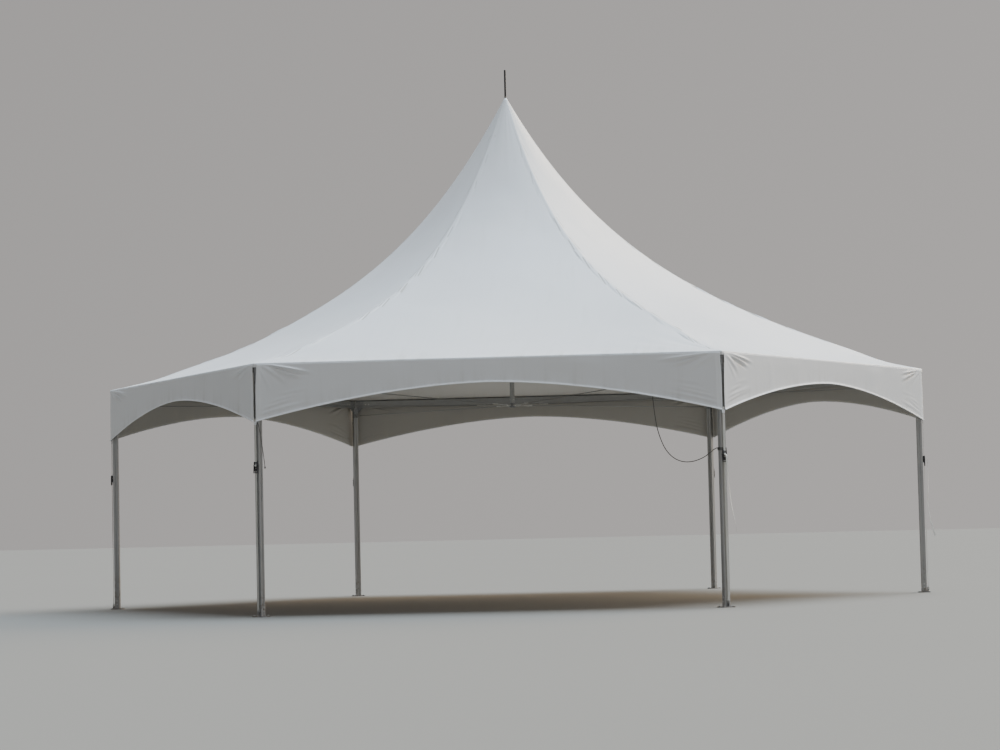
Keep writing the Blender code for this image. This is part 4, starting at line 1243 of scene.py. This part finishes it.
class MARQUEE_OT_frame(bpy.types.Operator):
    """Finish the legs, beams, brackets, plates and mast, and add their bolts and welds"""

    bl_idname = "marquee.frame"
    bl_label = "Finish frame"

    NODE_FINISHES = {
        "leg_": "leg_aluminium", "eave_beam_": "beam_aluminium", "corner_bracket_": "galvanised_steel",
        "base_plate_": "galvanised_steel", "mast": "leg_aluminium", "mast_foot": "galvanised_steel",
        "finial": "black_lacquer",
    }

    def execute(self, context):
        for obj in [obj for obj in bpy.data.objects if "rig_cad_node" in obj]:
            for start, finish in self.NODE_FINISHES.items():
                if obj.name.startswith(start):
                    for slot in obj.material_slots:
                        slot.link = "OBJECT"
                        slot.material = finish_named(finish)
        self.leg_bolts()
        self.beam_bolts()
        self.foot_bolts()
        self.mast_details()
        return {"FINISHED"}

    def leg_bolts(self):
        """Bolts that hold each leg to its bracket and its foot, on the faces along the eave."""
        shapes = Shapes()
        for z in LEG_BOLTS:
            for side in (-1, 1):
                shapes.bolt((0.0, side * LEG_HALF, z), (0, side, 0), 0.009)
        self.at_all(CORNERS, corner_matrix, shapes, "leg_bolts")

    def beam_bolts(self):
        """Bolts through the stubs in both ends of each beam."""
        shapes = Shapes()
        middle = (BEAM_LOW.z + BEAM_HIGH.z) / 2
        for end in (-1, 1):
            for inset in BEAM_BOLTS:
                shapes.bolt((APOTHEM - BEAM_HALF, end * (BEAM_HIGH.x - inset), middle), (-1, 0, 0), 0.009)
        self.at_all(SIDES, side_matrix, shapes, "beam_bolts")

    def foot_bolts(self):
        """Ground bolts at the corners of each foot and the weld round its eye."""
        shapes = Shapes()
        inset = PLATE_HIGH.x - SIDE - 0.022
        for x in (-inset, inset):
            for y in (-inset, inset):
                shapes.bolt((x, y, PLATE_TOP), UP, 0.01)
        rim = [(-0.013, -0.0055), (0.013, -0.0055), (0.013, 0.0055), (-0.013, 0.0055), (-0.013, -0.0055)]
        weld = even_route([Vector((STRAP_X + x, y, PLATE_TOP + 0.0008)) for x, y in rim], 0.0025)
        for count, point in enumerate(weld):
            shapes.ball(point, 0.0046 if count % 2 else 0.0052)
        self.at_all(CORNERS, corner_matrix, shapes, "foot_bolts")

    def at_all(self, spots, matrix, shapes, name):
        repeat(spots, matrix, [shapes.mesh(name, "zinc_plated_steel")])

    def mast_details(self):
        """Bolts above the mast foot and a clamp round the cover's collar."""
        shapes = Shapes()
        for spoke in arc((0, 0, 0), OUT, ALONG, pi / 6, 2 * pi + pi / 6, 5)[:-1]:
            shapes.bolt(spoke * (MAST_RADIUS - 0.0004) + UP * (MAST_LOW.z + 0.04), spoke, 0.007)
        shapes.piece("mast_bolts", "zinc_plated_steel")
        middle = UP * (float(hip_height(COLLAR_RADIUS)) + 0.0045)
        band = arc(middle, OUT * CLAMP_RADIUS, ALONG * CLAMP_RADIUS, 0.0, 2 * pi, 41)
        clamp = Shapes()
        clamp.sweep(band, flat_outline(0.009, 0.0016), UP)
        clamp.bolt(middle + OUT * (CLAMP_RADIUS + 0.0013), OUT, 0.004, washer=0.0)
        clamp.piece("peak_clamp", "zinc_plated_steel")


# Ratchet straps

def strap_line(top, bottom, count, offset=0.0):
    """Straight points down a leg's outer face."""
    return [Vector((STRAP_X + offset, 0.0, z)) for z in np.linspace(top, bottom, count)]


class MARQUEE_OT_straps(bpy.types.Operator):
    """Add the webbing, tabs, ratchets and hooks of the six ratchet straps"""

    bl_idname = "marquee.straps"
    bl_label = "Add ratchet straps"

    def execute(self, context):
        parts = [self.webbing(), self.tab(), self.ratchet(), self.hook()]
        repeat(CORNERS, corner_matrix, parts, "ratchet_strap")
        return {"FINISHED"}

    def webbing(self):
        """Upper strap from the valance tips to the ratchet, and lower strap from it to the hook."""
        shapes = Shapes()
        outline = flat_outline(STRAP_WIDTH, STRAP_THICKNESS)
        upper = strap_line(STRAP_HIGH.z - 0.001, RATCHET_Z + 0.04, 50)
        for point in upper:
            point.x += 0.0006 * sin(point.z * 31)
        shapes.sweep(upper, outline, ALONG, doubled=lambda run: float(run < 0.11 or run > 0.36))
        lower = strap_line(RATCHET_Z - 0.012, HOOK_TOP + 0.004, 150)
        for point in lower:
            point.x += 0.0009 * sin(point.z * 9.0)
            point.y = 0.0009 * sin(point.z * 5.0)
        end = (lower[0] - lower[-1]).length
        shapes.sweep(
            lower, outline, ALONG, lambda run: 0.1 * sin(run * 3.4) * sin(pi * run / end),
            doubled=lambda run: float(run > end - 0.075),
        )
        fold_back = strap_line(HOOK_TOP + 0.072, HOOK_TOP + 0.004, 12, 0.0023)
        shapes.sweep(fold_back, outline, ALONG, doubled=lambda run: 1.0)
        middle = (STRAP_X + 0.0011, 0.0, HOOK_TOP + 0.003)
        shapes.sweep(arc(middle, OUT * 0.0034, UP * 0.0052, 0.0, -pi, 10), outline, ALONG)
        coil = []
        for a in np.linspace(0.0, 5.2 * pi, 110):
            radius = 0.0062 + 0.0021 * a / (2 * pi)
            coil.append(Vector((STRAP_X + radius * cos(a), 0.0, RATCHET_Z + radius * sin(a))))
        shapes.sweep(coil, flat_outline(STRAP_WIDTH, 0.0017), ALONG)
        return shapes.mesh("strap_webbing", "strap_webbing", 50)

    def tab(self):
        """Doubled tab of cloth that joins the tips of two valances to the strap."""
        shapes = Shapes()
        low, high = TIP_Z - 0.0335, TIP_Z + 0.0005
        half = [(0.012, low), (0.018, low + 0.006), (0.02, high)]
        outline = [(-y, z) for y, z in reversed(half)][1:] + half + [(-0.02, high)]
        stand = Matrix(((0, 0, 1, 0), (1, 0, 0, 0), (0, 1, 0, 0), (0, 0, 0, 1)))
        for offset in (-0.0018, 0.0018):
            shapes.plate(outline, 0.0022, Matrix.Translation((STRAP_X + offset, 0, 0)) @ stand, 0.0006)
        mesh = shapes.mesh("strap_tab", "coated_cloth")
        mark_cloth(mesh, 0.8)
        return mesh

    def ratchet(self):
        """Frame, toothed wheels, spool, bars and lever of a small strap ratchet."""
        shapes = Shapes()
        centre = Vector((STRAP_X, 0.0, RATCHET_Z))
        cheek = []
        for z, radius, begin in ((0.031, 0.0115, 0.0), (-0.03, 0.013, pi)):
            arms = (OUT * radius, ALONG * radius)
            cheek += [point.xy for point in arc((0.0, z, 0.0), *arms, begin, begin + pi, 9)]
        wheel = []
        for tooth in range(13):
            for shift, radius in ((0.0, 0.0105), (0.14, 0.0138), (0.22, 0.0105)):
                angle = 2 * pi * tooth / 13 + shift
                wheel.append((radius * cos(angle), radius * sin(angle)))
        lever = [
            (-0.0055, 0.006), (-0.007, -0.012), (0.0005, -0.05), (0.001, -0.078), (0.005, -0.0845),
            (0.011, -0.082), (0.012, -0.052), (0.0085, -0.01), (0.006, 0.007), (0.0, 0.0095),
        ]
        stand = Matrix(((1, 0, 0, 0), (0, 0, -1, 0), (0, 1, 0, 0), (0, 0, 0, 1)))
        plates = ((cheek, 0.0024, 0.0205), (wheel, 0.003, 0.017), (lever, 0.0024, 0.0258))
        for side in (-1, 1):
            for outline, thickness, y in plates:
                place = Matrix.Translation(centre + ALONG * side * y)
                shapes.plate(outline, thickness, place @ stand, 0.0005)
        for x, z, diameter, length in (
            (0.0, 0.0, 0.01, 0.066), (0.0, 0.036, 0.0075, 0.048), (-0.002, -0.034, 0.0065, 0.046),
            (0.0065, -0.076, 0.0095, 0.056),
        ):
            middle = centre + OUT * x + UP * z
            reach = ALONG * length / 2
            shapes.rod(middle - reach, middle + reach, diameter, 14, bevel=0.0006)
        for low, high, bevel in (
            ((0.0035, -0.0235, -0.064), (0.0063, 0.0235, -0.03), 0.0006),
            ((0.001, -0.0185, -0.024), (0.0036, 0.0185, -0.0135), 0.0005),
        ):
            shapes.box(centre + Vector(low), centre + Vector(high), bevel)
        return shapes.mesh("ratchet", "black_lacquer")

    def hook(self):
        """Wire triangle in the webbing's loop and a flat hook through the eye of the foot."""
        shapes = Shapes()
        x = STRAP_X + 0.0011
        top = HOOK_TOP + 0.003
        corners = [(-0.015, top), (0.015, top), (0.012, 0.064), (-0.002, 0.064), (-0.015, top)]
        wire = even_route([Vector((x, y, z)) for y, z in corners], 0.002)
        shapes.sweep(wire, round_outline(0.0042), OUT)
        bends = [
            (0.0035, 0.0705), (0.0085, 0.068), (0.011, 0.06), (0.0108, 0.052), (0.007, EYE_Z),
            (0.0, EYE_Z - 0.0004), (-0.0062, EYE_Z), (-0.009, 0.05), (-0.0098, 0.056),
        ]
        shapes.sweep(smooth_route([(x, y, z) for y, z in bends], 6), flat_outline(0.01, 0.0034), OUT)
        return shapes.mesh("strap_hook", "zinc_plated_steel")


# Stays

def stay_matrix(index):
    """+X along a stay, from the mast foot outwards."""
    start = Matrix.Translation((STAY_INNER_X, 0.0, STAY_INNER_Z))
    tilt = Matrix.Rotation(-atan2(STAY_RISE, STAY_RUN), 4, "Y")
    return Matrix.Rotation(index * SECTOR, 4, "Z") @ start @ tilt


class MARQUEE_OT_stays(bpy.types.Operator):
    """Add the six wire stays with their forks and turnbuckles"""

    bl_idname = "marquee.stays"
    bl_label = "Add stays"

    def execute(self, context):
        repeat(CORNERS, stay_matrix, [self.strand(), self.fittings()], "stay_cable")
        return {"FINISHED"}

    def strand(self):
        shapes = Shapes()
        start, end = TURNBUCKLE_END + 0.04, STAY_LENGTH - CLEVIS_LENGTH - 0.012
        points = [OUT * x for x in np.linspace(start, end, round((end - start) / 0.0095))]
        shapes.sweep(points, laid_outline(STAY_WIRE, 6, 3), UP, lambda run: STAY_LAY * run)
        return shapes.mesh("stay_wire", "stay_wire_strand", 80)

    def block(self, shapes, start, end, inner, outer, bevel):
        """Box along the stay, from an inner to an outer distance beside it."""
        x, y = sorted((start, end)), sorted((inner, outer))
        shapes.box((x[0], y[0], -CLEVIS_HEIGHT / 2), (x[1], y[1], CLEVIS_HEIGHT / 2), bevel)

    def fork(self, shapes, start, direction):
        """Fork over a lug, with its pin and split ring, from its open end."""
        half = CLEVIS_WIDTH / 2
        for side in (-1, 1):
            slot = side * (LUG_THICKNESS / 2 + 0.0003)
            self.block(shapes, start, start + direction * 0.026, slot, side * half, 0.0018)
        self.block(shapes, start + direction * 0.0235, start + direction * CLEVIS_LENGTH, -half, half, 0.0022)
        pin = OUT * (start + direction * 0.011)
        shapes.rod(pin - ALONG * 0.015, pin + ALONG * 0.015, 0.0078, 14)
        shapes.rod(pin - ALONG * 0.0165, pin - ALONG * 0.0125, 0.0125, 16, bevel=0.0006)
        ring = arc(pin + ALONG * 0.0136, OUT * 0.0062, UP * 0.0062, 0.0, 1.95 * pi, 24)
        shapes.sweep(ring, round_outline(0.0014, 6), ALONG)

    def threaded(self, shapes, start, end, radius=0.005, pitch=0.0025):
        """Rod with a screw thread, as a stack of fine ridges."""
        core = radius * 0.86
        profile = [(0.0, 0.0), (0.0, core)]
        for index in range(int((end - start) / pitch)):
            profile += [((index + 0.25) * pitch, radius), ((index + 0.75) * pitch, core)]
        shapes.turned(profile + [(end - start, core), (end - start, 0.0)], OUT * start, OUT, 14)

    def fittings(self):
        shapes = Shapes()
        self.fork(shapes, 0.0, 1)
        self.fork(shapes, STAY_LENGTH, -1)
        start, end = TURNBUCKLE_START, TURNBUCKLE_END
        self.threaded(shapes, CLEVIS_LENGTH - 0.002, start + 0.085)
        self.threaded(shapes, end - 0.085, end + 0.02)
        boss = [(0.0, 0.0), (0.0, 0.0095), (0.002, 0.0118), (0.024, 0.0118), (0.026, 0.0095), (0.026, 0.0)]
        for x in (start, end - 0.026):
            shapes.turned(boss, OUT * x, OUT)
        for side in (-1, 1):
            shapes.rod((start + 0.012, side * 0.0092, 0), (end - 0.012, side * 0.0092, 0), 0.0072, 12)
        for x in (start - 0.01, end + 0.001):
            shapes.rod(OUT * x, OUT * (x + 0.009), 0.0185, 6)
        swage = [
            (0.0, 0.0), (0.0, 0.0072), (0.004, 0.0084), (0.03, 0.0084), (0.034, 0.0076), (0.062, 0.0072),
            (0.07, 0.0056), (0.07, 0.0),
        ]
        shapes.turned(swage, OUT * (end + 0.014), OUT)
        shapes.turned(swage, OUT * (STAY_LENGTH - CLEVIS_LENGTH + 0.001), -OUT)
        return shapes.mesh("stay_fittings", "zinc_plated_steel")


# Stage

class MARQUEE_OT_stage(bpy.types.Operator):
    """Add the floor, a soft sky that is brighter on one side, and two soft lamps"""

    bl_idname = "marquee.stage"
    bl_label = "Add stage"

    def execute(self, context):
        settings = context.scene.marquee_stage
        square = ((-1, -1), (1, -1), (1, 1), (-1, 1))
        corners = [(FLOOR_REACH * x, FLOOR_REACH * y, -0.001) for x, y in square]
        mesh = bpy.data.meshes.new("studio_floor")
        mesh.from_pydata(corners, [], [(0, 1, 2, 3)])
        mesh.materials.append(finish_named("studio_floor"))
        floor = bpy.data.objects.new("studio_floor", mesh)
        context.scene.collection.objects.link(floor)
        world = bpy.data.worlds.new("studio_sky")
        world.use_nodes = True
        sky = Nodes(world.node_tree, "Background")
        sockets = {0: sky.node("ShaderNodeTexCoord", {}, {}, "Generated"), 1: settings.sky_direction}
        facing = sky.node("ShaderNodeVectorMath", {"operation": "DOT_PRODUCT"}, sockets, "Value")
        sky.put("Color", sky.mix(facing * 0.5 + 0.5, settings.dim_sky, settings.bright_sky))
        sky.put("Strength", 1.0)
        context.scene.world = world
        self.lamp(context, "upper_lamp", (0.255, 0.154, 0.955), 5.57, 50.0, (0.735, 0.87, 1.0))
        self.lamp(context, "side_lamp", (0.561, 0.674, 0.48), 3.0, 40.0, (1.0, 0.79, 0.54))
        return {"FINISHED"}

    def lamp(self, context, name, direction, strength, softness, colour):
        """Soft sun that shines from a direction."""
        sun = bpy.data.lights.new(name, "SUN")
        sun.energy = strength
        sun.angle = radians(softness)
        sun.color = colour
        obj = bpy.data.objects.new(name, sun)
        obj.rotation_euler = Vector(direction).to_track_quat("Z", "Y").to_euler()
        context.scene.collection.objects.link(obj)


class MARQUEE_PT_sidebar(bpy.types.Panel):
    """Buttons of the marquee in the 3D view's sidebar"""

    bl_label = "Marquee"
    bl_idname = "MARQUEE_PT_sidebar"
    bl_space_type = "VIEW_3D"
    bl_region_type = "UI"
    bl_category = "Marquee"

    def draw(self, context):
        for operator in OPERATORS:
            self.layout.operator(operator.bl_idname)
        for group in SETTINGS:
            box = self.layout.box()
            settings = getattr(context.scene, group)
            for name in settings.__annotations__:
                box.prop(settings, name)


OPERATORS = (
    MARQUEE_OT_camera,
    MARQUEE_OT_loose_cords,
    MARQUEE_OT_cover,
    MARQUEE_OT_valances,
    MARQUEE_OT_frame,
    MARQUEE_OT_straps,
    MARQUEE_OT_stays,
    MARQUEE_OT_stage,
)
SETTINGS = {
    "marquee_cloth": MarqueeClothSettings,
    "marquee_frame": MarqueeFrameSettings,
    "marquee_stage": MarqueeStageSettings,
}


def register():
    for kind in (*SETTINGS.values(), *OPERATORS, MARQUEE_PT_sidebar):
        bpy.utils.register_class(kind)
    for name, kind in SETTINGS.items():
        setattr(bpy.types.Scene, name, PointerProperty(type=kind))


def unregister():
    for name in SETTINGS:
        delattr(bpy.types.Scene, name)
    for kind in (MARQUEE_PT_sidebar, *reversed(OPERATORS), *reversed(SETTINGS.values())):
        bpy.utils.unregister_class(kind)


def main():
    register()
    for operator in OPERATORS:
        group, name = operator.bl_idname.split(".")
        getattr(getattr(bpy.ops, group), name)()


if __name__ == "__main__":
    main()
